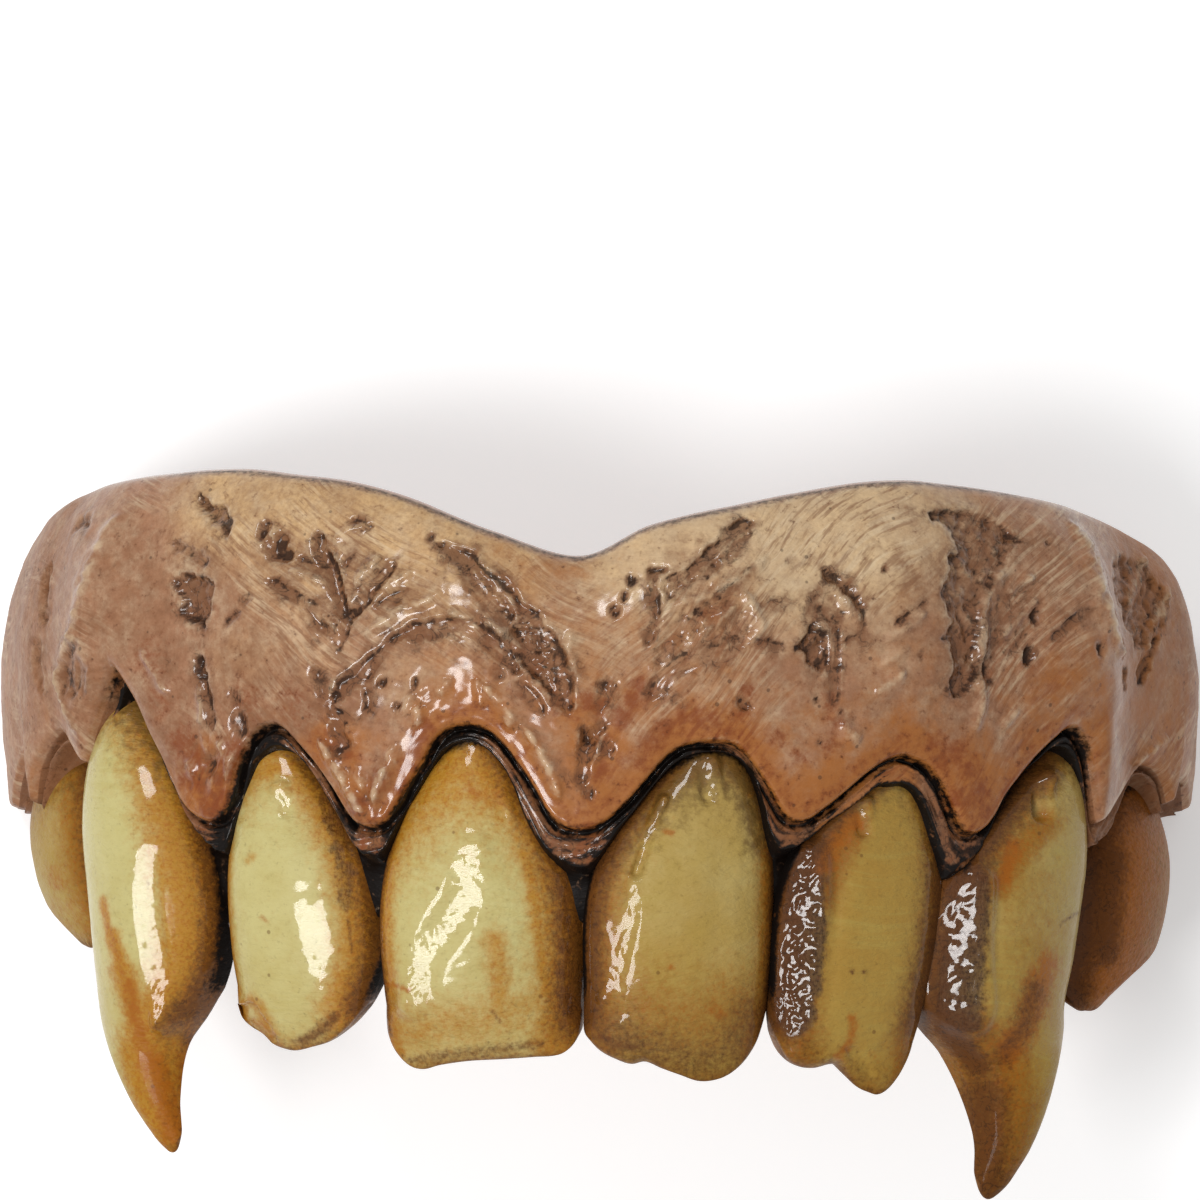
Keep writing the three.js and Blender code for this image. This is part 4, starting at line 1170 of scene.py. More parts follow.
# %% Relief of a tooth
def tooth_relief(name, at, height, u, d, points):
    """Waves, grooves, chips and crests on the face of a tooth."""
    on_face, on_side = ramp(d, -0.2, 0.4), ramp(d, -0.9, -0.4)
    spots = on_paper(points)
    relief = 0.06 * lumps(points, 4.5, 11) + 0.012 * lumps(points, 1.2, 15)
    relief += 0.012 * lumps(points, 0.6, 12, 3)
    foot, neck_height = TEETH[name]["edge"][0][1], TEETH[name]["sides"][1][0]
    fade = ramp(height, foot, -4) * ramp(-height, -neck_height, 2)
    for across, depth in FACES[name][-1]:
        relief -= depth * np.exp(-(((u - across) / 0.13) ** 2)) * (0.3 + 0.7 * fade)
    crumbs = lumps(points, 0.5, 13, 3)
    for depth, soft, outline in CHIPS.get(name, []):
        relief -= depth * ramp(inside(drawn(outline), spots) + 0.12 * crumbs, 0, soft)
    for rise, half, line in CRESTS.get(name, []):
        apart, share, _ = from_line(drawn(line), spots)
        relief += rise * np.sin(math.pi * share) ** 0.4 * np.exp(-((apart / half) ** 2))
    flank = np.zeros(len(at))
    for strength, half, line in ROUGH_FLANKS.get(name, []):
        apart = from_drawn(line, spots)
        flank = np.maximum(flank, strength * ramp(-apart - 0.2 * crumbs, -1.4 * half, -0.5 * half))
    flank = flank * on_side
    torn = flank * (0.07 * crumbs + 0.02 * lumps(points, 0.25, 14, 2))
    return relief * on_face, torn, flank


# %% Planes rubbed flat
# how much of the way to its plane a point is moved, and how many millimetres at most
RUBBED = 0.9
DEEPEST_RUB = 0.7


def rubbed_flat(name, at, out, height, d):
    """How far a tooth stands out once its flat planes are rubbed into it and slightly rippled."""
    for half, (rightwards, upwards), line in FLATS.get(name, []):
        points = place(at, out, height)
        apart = from_drawn(line, on_paper(points))
        on_plane = ramp(-apart, -2.8 * half, -0.7 * half) * ramp(d, 0.02, 0.3)
        x, y, z = points.T
        level = z - rightwards * x - upwards * y
        plane = np.average(level, weights=on_plane**4)
        z_for_out = np.clip(place(at, out + 1, height)[:, 2] - z, 0.3, None)
        drawn_out = points * (1.2, 0.8, 1.2)
        ripples = 0.02 * lumps(drawn_out, 0.55, 17, 3) + 0.034 * lumps(drawn_out, 0.26, 18, 2)
        moved = np.clip(RUBBED * (plane - level) / z_for_out, -DEEPEST_RUB, DEEPEST_RUB)
        out = out + on_plane * (moved + ripples)
    return out


# %% [markdown]
# The teeth are painted from the neck down: a dark line in the crack of the gum, grey-brown and ochre
# washed over the neck, brown run into both sides, black where two teeth touch, and single stains. The
# teeth on the right are older and browner in colour than the ones on the left, partly in their own
# paint and partly as painted shade, since the light falls off towards the right. As on the gum, each
# colour is a soft mask on the points, and one more mask says where the varnish is matt.

# %% Paint of the teeth
# age and painted shade, then how far in millimetres the smoke and the ochre reach down from the neck,
# then for the left and the right side how far in the brown and the ochre reach
TOOTH_PAINT = {
    "left_premolar": (0.7, 2.6, 3.6, (0.1, 0.6), (1, 2.4)),
    "left_fang": (0.05, 2, 2.8, (0.05, 0.3), (0.5, 2.2)),
    "left_lateral": (0.1, 0.6, 2.8, (0.35, 1), (0.8, 2)),
    "left_central": (0.15, 0.5, 4.5, (0.45, 1.2), (1.4, 2.5)),
    "right_central": (0.68, 2.6, 1.4, (0.9, 1.8), (0.6, 1.3)),
    "right_lateral": (1, 1.6, 0.8, (1.2, 2), (1.5, 1.9)),
    "right_fang": (0.7, 1.8, 1.6, (1.4, 2.4), (0.1, 0.5)),
    "right_premolar": (1, 2.4, 0.9, (1.8, 4.6), (0.5, 1.6)),
}
# mask, strength, half width, line in pixels
STAINS = {
    "left_premolar": [
        ("rust", 0.6, 0.45, [(54, 874), (58, 884)]),
        ("rust", 0.3, 0.9, [(60, 905), (74, 925)]),
    ],
    "left_fang": [
        ("ochre", 0.9, 0.22, [(103, 900), (107, 925), (114, 948)]),
        ("ochre", 1, 0.4, [(112, 935), (120, 962), (128, 986)]),
        ("ochre", 1, 0.65, [(122, 970), (128, 986), (138, 1020), (150, 1060)]),
        ("ochre", 1, 1, [(154, 1060), (166, 1092), (172, 1140)]),
        ("rust", 0.4, 0.2, [(108, 925), (120, 964), (128, 990)]),
        ("rust", 0.75, 0.4, [(128, 985), (136, 1020), (148, 1058)]),
        ("rust", 0.9, 0.7, [(150, 1058), (164, 1090), (173, 1134)]),
        ("rust", 0.6, 0.6, [(186, 1056), (182, 1090), (178, 1120)]),
        ("brown", 0.7, 0.7, [(214, 965), (203, 1000), (190, 1040)]),
        ("ochre", 0.95, 0.7, [(150, 735), (164, 790), (178, 845), (192, 920)]),
        ("rust", 0.5, 0.12, [(132, 834), (133, 836)]),
        ("matt", 0.95, 0.3, [(169, 886), (173, 945)]),
        ("matt", 0.7, 0.9, [(146, 1056), (156, 1104)]),
        ("brown", 0.5, 0.1, [(148, 883), (149, 884)]),
    ],
    "left_lateral": [
        ("rust", 0.6, 0.16, [(263, 917), (266, 921)]),
        ("ochre", 0.6, 0.22, [(252, 856), (247, 862)]),
        ("ochre", 0.9, 0.6, [(262, 770), (284, 766), (306, 782)]),
        ("ochre", 0.75, 0.4, [(238, 1004), (256, 1000), (272, 1034)]),
        ("rust", 0.5, 0.3, [(244, 1012), (262, 1026), (280, 1044)]),
        ("brown", 0.7, 0.35, [(300, 1042), (320, 1032), (336, 1016)]),
        ("brown", 0.6, 0.12, [(348, 918), (352, 950)]),
    ],
    "left_central": [
        ("ochre", 1, 0.8, [(480, 770), (496, 780), (508, 796)]),
        ("rust", 0.45, 0.6, [(470, 792), (486, 796), (500, 802)]),
        ("ochre", 0.85, 0.5, [(524, 852), (534, 890), (540, 940), (546, 990)]),
        ("ochre", 0.55, 1.6, [(412, 1030), (450, 1024), (500, 1016), (540, 1004)]),
        ("brown", 0.5, 0.3, [(410, 1060), (470, 1052), (540, 1044)]),
        ("ochre", 0.7, 0.7, [(494, 940), (500, 975), (498, 1010)]),
        ("brown", 0.5, 0.12, [(493, 1012), (500, 1022)]),
        ("rust", 0.7, 0.16, [(386, 984), (398, 986), (408, 990)]),
        ("matt", 0.5, 1.3, [(460, 800), (500, 800)]),
        ("matt", 0.4, 2.2, [(430, 1036), (540, 1020)]),
    ],
    "right_central": [
        ("rust", 0.8, 0.18, [(665, 831), (672, 833)]),
        ("rust", 0.5, 0.14, [(670, 967), (673, 969)]),
        ("rust", 0.6, 0.32, [(713, 1010), (719, 1015)]),
        ("brown", 0.7, 0.35, [(603, 1038), (622, 1048), (642, 1044)]),
        ("ochre", 0.8, 0.6, [(612, 890), (606, 940), (600, 1000)]),
        ("brown", 0.5, 1.6, [(600, 1030), (660, 1060), (720, 1070), (760, 1020)]),
        ("ochre", 0.6, 2.4, [(610, 1010), (680, 1020), (750, 1010)]),
        ("rust", 0.4, 0.25, [(766, 850), (768, 920), (766, 990)]),
        ("smoke", 0.75, 0.8, [(744, 796), (754, 820), (758, 842)]),
        ("matt", 0.4, 2.5, [(690, 880), (700, 960)]),
    ],
    "right_lateral": [
        ("rust", 0.9, 0.6, [(852, 822), (836, 840), (822, 866)]),
        ("ochre", 0.9, 0.7, [(858, 828), (838, 858), (824, 900)]),
        ("rust", 0.8, 0.25, [(852, 1018), (854, 1030), (848, 1046), (838, 1056)]),
        ("rust", 0.4, 0.2, [(872, 1054), (877, 1060)]),
        ("brown", 0.7, 0.1, [(851, 971), (853, 973)]),
        ("brown", 0.7, 0.1, [(863, 971), (865, 973)]),
        ("matt", 1, 0.7, [(775, 1020), (790, 1046), (820, 1056)]),
        ("brown", 0.35, 1.4, [(800, 1050), (840, 1080), (870, 1090)]),
    ],
    "right_fang": [
        ("rust", 0.8, 0.5, [(1012, 846), (1009, 862), (1004, 880)]),
        ("ochre", 0.95, 0.9, [(1044, 824), (1018, 850), (998, 884)]),
        ("rust", 0.9, 0.6, [(1048, 962), (1042, 990), (1034, 1014)]),
        ("rust", 0.9, 0.8, [(1040, 980), (1028, 1020), (1010, 1052)]),
        ("brown", 0.55, 0.7, [(1034, 990), (1022, 1030), (1000, 1060)]),
        ("rust", 0.4, 0.5, [(1004, 1060), (1002, 1100), (990, 1156)]),
        ("brown", 0.85, 1.4, [(984, 1100), (984, 1140), (984, 1190)]),
        ("brown", 0.65, 0.45, [(950, 1030), (972, 1056), (981, 1090), (984, 1150)]),
        ("brown", 0.5, 0.1, [(1060, 924), (1072, 916), (1084, 910)]),
        ("brown", 1, 0.7, [(944, 1026), (960, 1044), (978, 1066)]),
        ("matt", 1, 1.2, [(940, 1030), (960, 1050), (980, 1080)]),
        ("matt", 0.5, 2, [(1070, 800), (1075, 900), (1050, 1000)]),
        ("matt", 0.5, 1.4, [(1025, 880), (1030, 940)]),
        ("ochre", 0.35, 2, [(1025, 880), (1035, 940)]),
        ("rust", 0.5, 0.2, [(994, 1024), (997, 1027)]),
    ],
    "right_premolar": [
        ("brown", 0.9, 0.9, [(1112, 860), (1108, 910), (1104, 950)]),
        ("ochre", 0.9, 3, [(1140, 820), (1130, 900), (1120, 970)]),
        ("rust", 0.9, 3, [(1120, 820), (1110, 900), (1100, 970)]),
        ("brown", 0.5, 2, [(1120, 780), (1136, 790)]),
        ("brown", 0.25, 3, [(1140, 820), (1130, 900), (1120, 970)]),
    ],
}
# how far the black of a joint between two teeth reaches on to each of them
JOINT_REACH = 0.3


def tooth_paint(name, at, height, d, t, flank, spots):
    """Masks for each colour of a tooth's paint."""
    age_and_shade, smoke_reach, ochre_reach, left_side, right_side = TOOTH_PAINT[name]
    sides, edge_line = np.array(TEETH[name]["sides"], float), np.array(TEETH[name]["edge"], float)
    from_left, from_right = at - curve(sides[:, :2], height), curve(sides[:, ::2], height) - at
    below_gum = np.clip(gum_edge(at) - height, 0, None)
    above_tip = (1 - t) * (sides[0, 0] - edge_line[:, 1].min())
    ochre_neck, ochre_tip = np.exp(-((below_gum / ochre_reach) ** 2)), np.exp(-above_tip / 0.6)
    masks = {
        "smoke": 0.9 * np.exp(-((below_gum / smoke_reach) ** 2)),
        "ochre": np.maximum(0.95 * ochre_neck, 0.6 * ochre_tip),
        "brown": 0.6 * np.exp(-above_tip / 0.35),
        "rust": np.zeros(len(at)),
        "black": np.exp(-((below_gum / 0.4) ** 2)),
        "matt": np.maximum(ramp(np.abs(at), 26.5, 28.5), 0.9 * ramp(-height, 9.6, 11.2)),
    }
    touching = ramp(height, -8.6, -6.8) * (0.55 + 0.45 * ramp(-np.abs(at), -26, -24))
    for distance, (brown_reach, ochre_side) in ((from_left, left_side), (from_right, right_side)):
        browned = 0.95 * ramp(distance, 2.1 * brown_reach, 0) * (0.3 + 0.7 * ramp(height, -10.5, -8))
        masks["brown"] = np.maximum(masks["brown"], browned)
        masks["ochre"] = np.maximum(masks["ochre"], ramp(distance, 1.6 * ochre_side, 0.3 * ochre_side))
        masks["black"] = np.maximum(masks["black"], ramp(distance, JOINT_REACH, 0.05) * touching)
    for stained, strength, half, line in STAINS[name]:
        stain = strength * np.exp(-((from_drawn(line, spots) / half) ** 2)) * (d > -0.3)
        masks[stained] = np.maximum(masks[stained], stain)
    masks["flank"] = flank
    masks["matt"] = masks["matt"] * (1 - 0.9 * flank)
    # browner on the right-hand teeth, partly their own paint and partly painted shade, and browner lower
    # down
    masks["age_and_shade"] = age_and_shade + 0.25 * ramp(-height, 3, 11)
    masks["brown"] = np.maximum(masks["brown"], 0.55 * ramp(-d, 0.2, 0.9))
    return masks


# %% Build a tooth
EDGE_CROWDING = 1.5
# share of a tooth, at its edge, in which the relief fades out
PLAIN_EDGE = 0.02
NEARLY_ZERO = 1e-4


def tooth(name, material):
    """A sphere drawn out to a tooth, with the masks of its paint."""
    ball = bmesh.new()
    bmesh.ops.create_uvsphere(ball, u_segments=TOOTH_SIDES, v_segments=TOOTH_ROWS, radius=1)
    bottom = min(ball.verts, key=lambda v: v.co.z)
    bmesh.ops.delete(ball, geom=[bottom], context="VERTS")
    ring = sorted((v for v in ball.verts if v.is_boundary), key=lambda v: v.co.x)
    front = [v for v in ring if v.co.y > -NEARLY_ZERO]
    behind = [v for v in ring if v.co.y <= -NEARLY_ZERO]
    bmesh.ops.weld_verts(ball, targetmap=dict(zip(behind, front[1:-1])))
    mesh = bpy.data.meshes.new(name)
    ball.to_mesh(mesh)
    x, y, z = points_of(mesh).T
    t = np.clip(np.arccos(np.clip(z, -1, 1)) / math.pi * TOOTH_ROWS / (TOOTH_ROWS - 1), 0, 1)
    t = 1 - (1 - t) ** EDGE_CROWDING
    turn = np.arctan2(y, x)
    power = 2 / FACES[name][0]
    u = np.sign(np.cos(turn)) * np.abs(np.cos(turn)) ** power
    d = np.sign(np.sin(turn)) * np.abs(np.sin(turn)) ** power
    at_pole = np.hypot(x, y) < NEARLY_ZERO
    u[at_pole], d[at_pole] = 0, 0
    at, out, height = tooth_surface(name, u, d, t)
    relief, torn, flank = tooth_relief(name, at, height, u, d, place(at, out, height))
    off_edge = np.where(t > 1 - 1e-9, 0, np.sqrt(np.clip((1 - t) / PLAIN_EDGE, 0, 1)))
    out = rubbed_flat(name, at, out + relief * off_edge, height, d) + torn * off_edge
    points = place(at, out, height)
    move_points(mesh, points)
    for mask, values in tooth_paint(name, at, height, d, t, flank, on_paper(points)).items():
        paint(mesh, mask, values)
    ball.clear()
    ball.from_mesh(mesh)
    bmesh.ops.recalc_face_normals(ball, faces=ball.faces)
    print(name, "open edges:", sum(not e.is_manifold for e in ball.edges))
    ball.to_mesh(mesh)
    ball.free()
    return finished(mesh, name, material)

# %% [markdown]
# Both paints on this casting were put on by hand, so they share the same few effects, and each is a
# node group: a soft mask that is broken into brush marks, long streaks of a dry brush, spattered
# specks, fine wrinkles, and the unevenness of the varnish. All of them read Object coordinates, so
# the patterns have a real size and stay where they are when the camera moves.

# %% Helpers for materials
def linear(web_colour):
    """A colour as it is written on a web page, turned into the light values of a shader."""
    parts = [int(web_colour[i : i + 2], 16) / 255 for i in (0, 2, 4)]
    return [p / 12.92 if p <= 0.04045 else ((p + 0.055) / 1.055) ** 2.4 for p in parts] + [1]


def feed(tree, socket, value):
    """Links a socket to another node's output, or sets it to a plain value."""
    if isinstance(value, bpy.types.NodeSocket):
        tree.links.new(value, socket)
    else:
        socket.default_value = value


def add(tree, kind, inputs=(), **settings):
    """Adds a node, with its settings and inputs."""
    node = tree.nodes.new(kind)
    for name, value in settings.items():
        setattr(node, name, value)
    for name, value in dict(inputs).items():
        feed(tree, node.inputs[name], value)
    return node


def maths(tree, operation, a, b=0.0, clamp=True):
    """A sum of two values, kept between 0 and 1 unless it is told not to."""
    inputs = {0: a, 1: b}
    return add(tree, "ShaderNodeMath", inputs, operation=operation, use_clamp=clamp).outputs[0]


def vectors(tree, operation, a, b):
    """A sum of two vectors."""
    return add(tree, "ShaderNodeVectorMath", {0: a, 1: b}, operation=operation).outputs[0]


def cloud(tree, where, **inputs):
    """The outputs of a noise texture, whose scale counts the lumps to a metre."""
    return add(tree, "ShaderNodeTexNoise", {"Vector": where, **inputs}).outputs


def stretch(tree, value, low, high):
    """A smooth step: 0 where the value is low, 1 where it is high."""
    inputs = {"Value": value, "From Min": low, "From Max": high}
    return add(tree, "ShaderNodeMapRange", inputs, interpolation_type="SMOOTHSTEP").outputs[0]


def between(tree, value, at_none, at_full):
    """A value that goes evenly from one number to another while a mask goes from 0 to 1."""
    inputs = {"Value": value, "To Min": at_none, "To Max": at_full}
    return add(tree, "ShaderNodeMapRange", inputs).outputs[0]


def mask(tree, name):
    """A mask that is kept on the points of the mesh."""
    return add(tree, "ShaderNodeAttribute", attribute_name=name).outputs["Fac"]


print("middle grey in linear light:", [round(c, 3) for c in linear("808080")])


# %% Helpers for node groups
def new_group(name, inputs, result="mask", kind="NodeSocketFloat"):
    """An empty node group with named inputs (and their usual values) and one result.

    It comes with what is given to it, the Object coordinates and the socket for its result.
    """
    group = bpy.data.node_groups.new(name, "ShaderNodeTree")
    for label, usual in inputs.items():
        socket = group.interface.new_socket(label, in_out="INPUT", socket_type="NodeSocketFloat")
        socket.default_value = usual
    group.interface.new_socket(result, in_out="OUTPUT", socket_type=kind)
    given = group.nodes.new("NodeGroupInput").outputs
    answer = group.nodes.new("NodeGroupOutput").inputs[result]
    where = add(group, "ShaderNodeTexCoord").outputs["Object"]
    return group, given, where, answer


def effect(tree, group, **inputs):
    """Places a node group in a material and returns its result."""
    node = tree.nodes.new("ShaderNodeGroup")
    node.node_tree = group
    for name, value in inputs.items():
        feed(tree, node.inputs[name.replace("_", " ")], value)
    return node.outputs[0]


# %% Broken paint edges
def broken_edge_group():
    """A soft mask, pushed up and down by noise before it is cut off."""
    usual = {"mask": 0.5, "size": 1500, "breakup": 0.6, "hardness": 0.3}
    group, given, where, result = new_group("broken paint edge", usual)
    grain = cloud(group, where, Scale=given["size"], Detail=4, Roughness=0.65)["Fac"]
    centred = maths(group, "SUBTRACT", grain, 0.5, clamp=False)
    push = maths(group, "MULTIPLY", centred, given["breakup"], clamp=False)
    moved = maths(group, "ADD", given["mask"], push, clamp=False)
    low = maths(group, "MULTIPLY", given["hardness"], 0.5)
    high = maths(group, "SUBTRACT", 1.0, low, clamp=False)
    feed(group, result, stretch(group, moved, low, high))
    return group


# %% Dry brush streaks
def streak_group():
    """Hairs of a brush: noise drawn out along a slightly swaying line, in patches."""
    usual = {"angle": 0.8, "length": 160, "width": 1800, "amount": 0.5}
    group, given, where, result = new_group("dry brush streaks", usual)
    drift = cloud(group, where, Scale=90, Detail=1)["Color"]
    sway = vectors(group, "MULTIPLY", drift, (0.005, 0.005, 0))
    turn = {"Vector": vectors(group, "ADD", where, sway), "Angle": given["angle"]}
    turned = add(group, "ShaderNodeVectorRotate", turn, rotation_type="Z_AXIS").outputs[0]
    sizes = {0: given["length"], 1: given["width"], 2: given["length"]}
    squeeze = add(group, "ShaderNodeCombineXYZ", sizes).outputs[0]
    squeezed = vectors(group, "MULTIPLY", turned, squeeze)
    hairs = cloud(group, squeezed, Scale=1, Detail=3, Roughness=0.6)["Fac"]
    patches = cloud(group, where, Scale=170, Detail=2)["Fac"]
    strokes = stretch(group, hairs, 0.48, 0.64)
    touched = stretch(group, patches, 0.42, 0.6)
    lit = maths(group, "MULTIPLY", strokes, touched)
    feed(group, result, maths(group, "MULTIPLY", lit, given["amount"]))
    return group


# %% Spattered specks
def speck_group():
    """Round dots of many sizes, in a share of the cells of a cell pattern."""
    usual = {"spacing": 900, "size": 0.12, "share": 0.3}
    group, given, where, result = new_group("spattered specks", usual)
    cells = add(group, "ShaderNodeTexVoronoi", {"Vector": where, "Scale": given["spacing"]}).outputs
    chosen = add(group, "ShaderNodeSeparateColor", {0: cells["Color"]}).outputs[0]
    radius = maths(group, "MULTIPLY", given["size"], chosen)
    apart = maths(group, "SUBTRACT", cells["Distance"], radius, clamp=False)
    dot = stretch(group, apart, 0.05, -0.02)
    limit = maths(group, "SUBTRACT", 1.0, given["share"], clamp=False)
    kept = maths(group, "GREATER_THAN", chosen, limit, clamp=False)
    feed(group, result, maths(group, "MULTIPLY", dot, kept))
    return group


# %% Fine wrinkles
def wrinkle_group():
    """Thin winding lines, where noise crosses its middle value."""
    usual = {"size": 900, "width": 0.03}
    group, given, where, result = new_group("fine wrinkles", usual)
    field = cloud(group, where, Scale=given["size"], Detail=4, Distortion=1.2)["Fac"]
    from_level = maths(group, "SUBTRACT", field, 0.5, clamp=False)
    apart = maths(group, "ABSOLUTE", from_level, clamp=False)
    feed(group, result, stretch(group, apart, given["width"], 0.0))
    return group


# %% Uneven varnish
# name, lumps to a metre, how they are squeezed along x, y and z, depth in millimetres
VARNISH_LAYERS = [
    ("ripple", 1100, (0.8, 1.2, 1), 0.11),
    ("orange peel", 3200, (0.6, 1.5, 1), 0.13),
    ("rough", 3600, (1.4, 0.5, 1.4), 0.13),
]


def varnish_group():
    """Three layers of bumps, one over the other."""
    usual = {"ripple": 0.3, "orange peel": 0.2, "rough": 0.0}
    group, given, where, result = new_group("uneven varnish", usual, "normal", "NodeSocketVector")
    normal = None
    for label, size, squeeze, depth in VARNISH_LAYERS:
        squeezed = vectors(group, "MULTIPLY", where, squeeze)
        height = cloud(group, squeezed, Scale=size, Detail=3, Roughness=0.6, Distortion=0.4)["Fac"]
        bump = {"Strength": given[label], "Distance": depth * MM, "Height": height}
        if normal:
            bump["Normal"] = normal
        normal = add(group, "ShaderNodeBump", bump).outputs["Normal"]
    feed(group, result, normal)
    return group


broken_edge, streaks, specks = broken_edge_group(), streak_group(), speck_group()
wrinkles, varnish = wrinkle_group(), varnish_group()
print("effects:", ", ".join(group.name for group in bpy.data.node_groups))


# %% Layers of paint
def broken(tree, where, size, breakup, hardness):
    """A mask of the mesh, or one amount all over, broken up into brush marks."""
    soft = mask(tree, where) if isinstance(where, str) else where
    return effect(tree, broken_edge, mask=soft, size=size, breakup=breakup, hardness=hardness)


def coat_of(tree, amount, under, over):
    """Paint of one colour over another."""
    return add(tree, "ShaderNodeMix", {0: amount, 6: under, 7: over}, data_type="RGBA").outputs[2]


def laid(tree, under, over, where, amount):
    """Paint of one colour laid over another where a mask is, and thinned to an amount."""
    return coat_of(tree, maths(tree, "MULTIPLY", where, amount), under, over)


def layered(tree, colour, layers):
    """One broken-up paint after another laid over a colour, and their masks."""
    masks = {}
    for where, size, breakup, hardness, amount, paint in layers:
        masks[where] = broken(tree, where, size, breakup, hardness)
        colour = laid(tree, colour, paint, masks[where], amount)
    return colour, masks


VARNISH_IOR, RESIN_IOR, RESIN_SHINE = 1.42, 1.45, 0.15


def varnished(name, coat_roughness):
    """A new material under clear varnish, with its nodes and its shader's sockets."""
    material = bpy.data.materials.new(name)
    material.use_nodes = True
    sockets = material.node_tree.nodes["Principled BSDF"].inputs
    sockets["Coat Roughness"].default_value = coat_roughness
    sockets["Coat IOR"].default_value = VARNISH_IOR
    sockets["IOR"].default_value = RESIN_IOR
    sockets["Specular IOR Level"].default_value = RESIN_SHINE
    return material, material.node_tree, sockets


# %% [markdown]
# The gum's paint follows the painter's order: a dull pink base that was thinned with yellow over the
# raised middle, a pale dry brush dragged up and outwards on both halves, brown grime with painted shade
# at the outer ends and in deeper places, rust near the teeth, then a thin brown wash that runs into
# every mark and is wiped off the high places, where pale paint also stands in for the highlights along
# the ridges, and ink with painted shadow inside the torn patches. Over it lies clear varnish, which is
# the shader's coat: a little uneven, thinner in the darkest marks, and thinnest at the two outer ends,
# which are matt.

# %% Paint of the gum
# GUM_PALE is also the painted highlight along the ridges
GUM_PINK, GUM_TAN, GUM_PALE = linear("a87a5b"), linear("d0ab7a"), linear("dcc6a4")
# GUM_SHADE is a darker brown for mottling, streaks and grime, and also the painted shade at the outer ends
GUM_SHADE, GUM_RUST, GUM_WASH = linear("7a4e30"), linear("9e5f26"), linear("744a2e")
# GUM_INK also paints the shadow just inside the edges of the torn patches
GUM_BLOTS, GUM_INK = linear("7c3a10"), linear("1e0f07")
GUM_CREVICE, GUM_INNER = linear("0c0502"), linear("9c6a52")

# mask or amount, lumps to a metre, breakup, hardness, strength, paint
GUM_MOTTLING = [
    (0.42, 480, 1.7, 0.1, 0.55, GUM_SHADE),
    (0.3, 950, 2, 0.1, 0.4, GUM_PALE),
    (0.45, 4200, 2, 0.2, 0.35, GUM_SHADE),
]
GUM_LAYERS = [
    # brown grime, and painted shade at the outer ends and in deeper places
    ("grime_and_shade", 1100, 1.4, 0.1, 0.75, GUM_SHADE),
    ("rust", 900, 1.3, 0.1, 0.92, GUM_RUST),
    ("blots", 2600, 2.1, 0.1, 0.8, GUM_BLOTS),
    ("wash", 2200, 1.3, 0, 0.85, GUM_WASH),
    # pale dry brush on raised places, and painted highlights along the ridges
    ("proud", 2000, 1.3, 0.3, 0.45, GUM_PALE),
]


def gum_paint():
    """The material of the gum and tray, from the base coat up."""
    material, tree, sockets = varnished("painted gum", 0.15)
    thin = broken(tree, "thin", 260, 0.8, 0.1)
    colour = coat_of(tree, thin, GUM_PINK, GUM_TAN)
    colour, _ = layered(tree, colour, GUM_MOTTLING)
    on_left = mask(tree, "left half")
    on_right = maths(tree, "SUBTRACT", 1.0, on_left)
    colour = laid(tree, colour, GUM_PALE, maths(tree, "MULTIPLY", thin, on_right), 0.35)
    for half, lean, amount in ((on_right, -0.85, 0.42), (on_left, 0.65, 0.34)):
        brushed = effect(tree, streaks, angle=lean, length=260, width=3600, amount=amount)
        colour = laid(tree, colour, GUM_PALE, brushed, half)
        hatched = effect(tree, streaks, angle=lean - 0.1, length=620, width=4200, amount=0.6)
        colour = laid(tree, colour, GUM_SHADE, hatched, half)
    colour, masks = layered(tree, colour, GUM_LAYERS)
    wash = masks["wash"]
    scratched = effect(tree, streaks, angle=-0.9, length=700, width=3000, amount=1)
    near_teeth = maths(tree, "MULTIPLY", scratched, mask(tree, "rust"))
    colour = laid(tree, colour, GUM_BLOTS, near_teeth, 0.75)
    lined = maths(tree, "MULTIPLY", effect(tree, wrinkles, size=900, width=0.03), wash)
    colour = laid(tree, colour, GUM_INK, lined, 0.6)
    # ink in the marks, and painted shadow just inside the edges of the torn patches
    ink_and_shadow = broken(tree, "ink_and_shadow", 3600, 1.5, 0.4)
    colour = laid(tree, colour, GUM_INK, ink_and_shadow, 0.8)
    spatter = effect(tree, specks, spacing=1700, size=0.16, share=0.1)
    colour = laid(tree, colour, GUM_INK, spatter, 0.5)
    crevice = broken(tree, "crevice", 2600, 2, 0.3)
    colour = coat_of(tree, crevice, colour, GUM_CREVICE)
    colour = coat_of(tree, mask(tree, "inner"), colour, GUM_INNER)
    feed(tree, sockets["Base Color"], colour)
    feed(tree, sockets["Roughness"], between(tree, wash, 0.5, 0.75))
    dull = maths(tree, "MULTIPLY", maths(tree, "MAXIMUM", crevice, ink_and_shadow), 0.6)
    dull = maths(tree, "MAXIMUM", dull, mask(tree, "matt"))
    feed(tree, sockets["Coat Weight"], between(tree, dull, 0.8, 0.1))
    rough = maths(tree, "MULTIPLY", wash, 0.4)
    surface = effect(tree, varnish, ripple=0.4, orange_peel=0.35, rough=rough)
    feed(tree, sockets["Normal"], surface)
    print(material.name, "nodes:", len(tree.nodes))
    return material


# %% [markdown]
# The teeth are a pale greenish ivory, older and browner towards the right, partly in their own paint
# and partly as painted shade where the light falls off. Smoke and ochre were washed down from the gum,
# brown run into both sides, and rust flicked on in spots. The masks on the points say where; here they
# are broken up and laid over each other. The varnish is smoother than on the gum. Light lies on it in a
# streak where a plane was rubbed flat, in small flecks on the torn flanks, and hardly at all where it is
# matt.

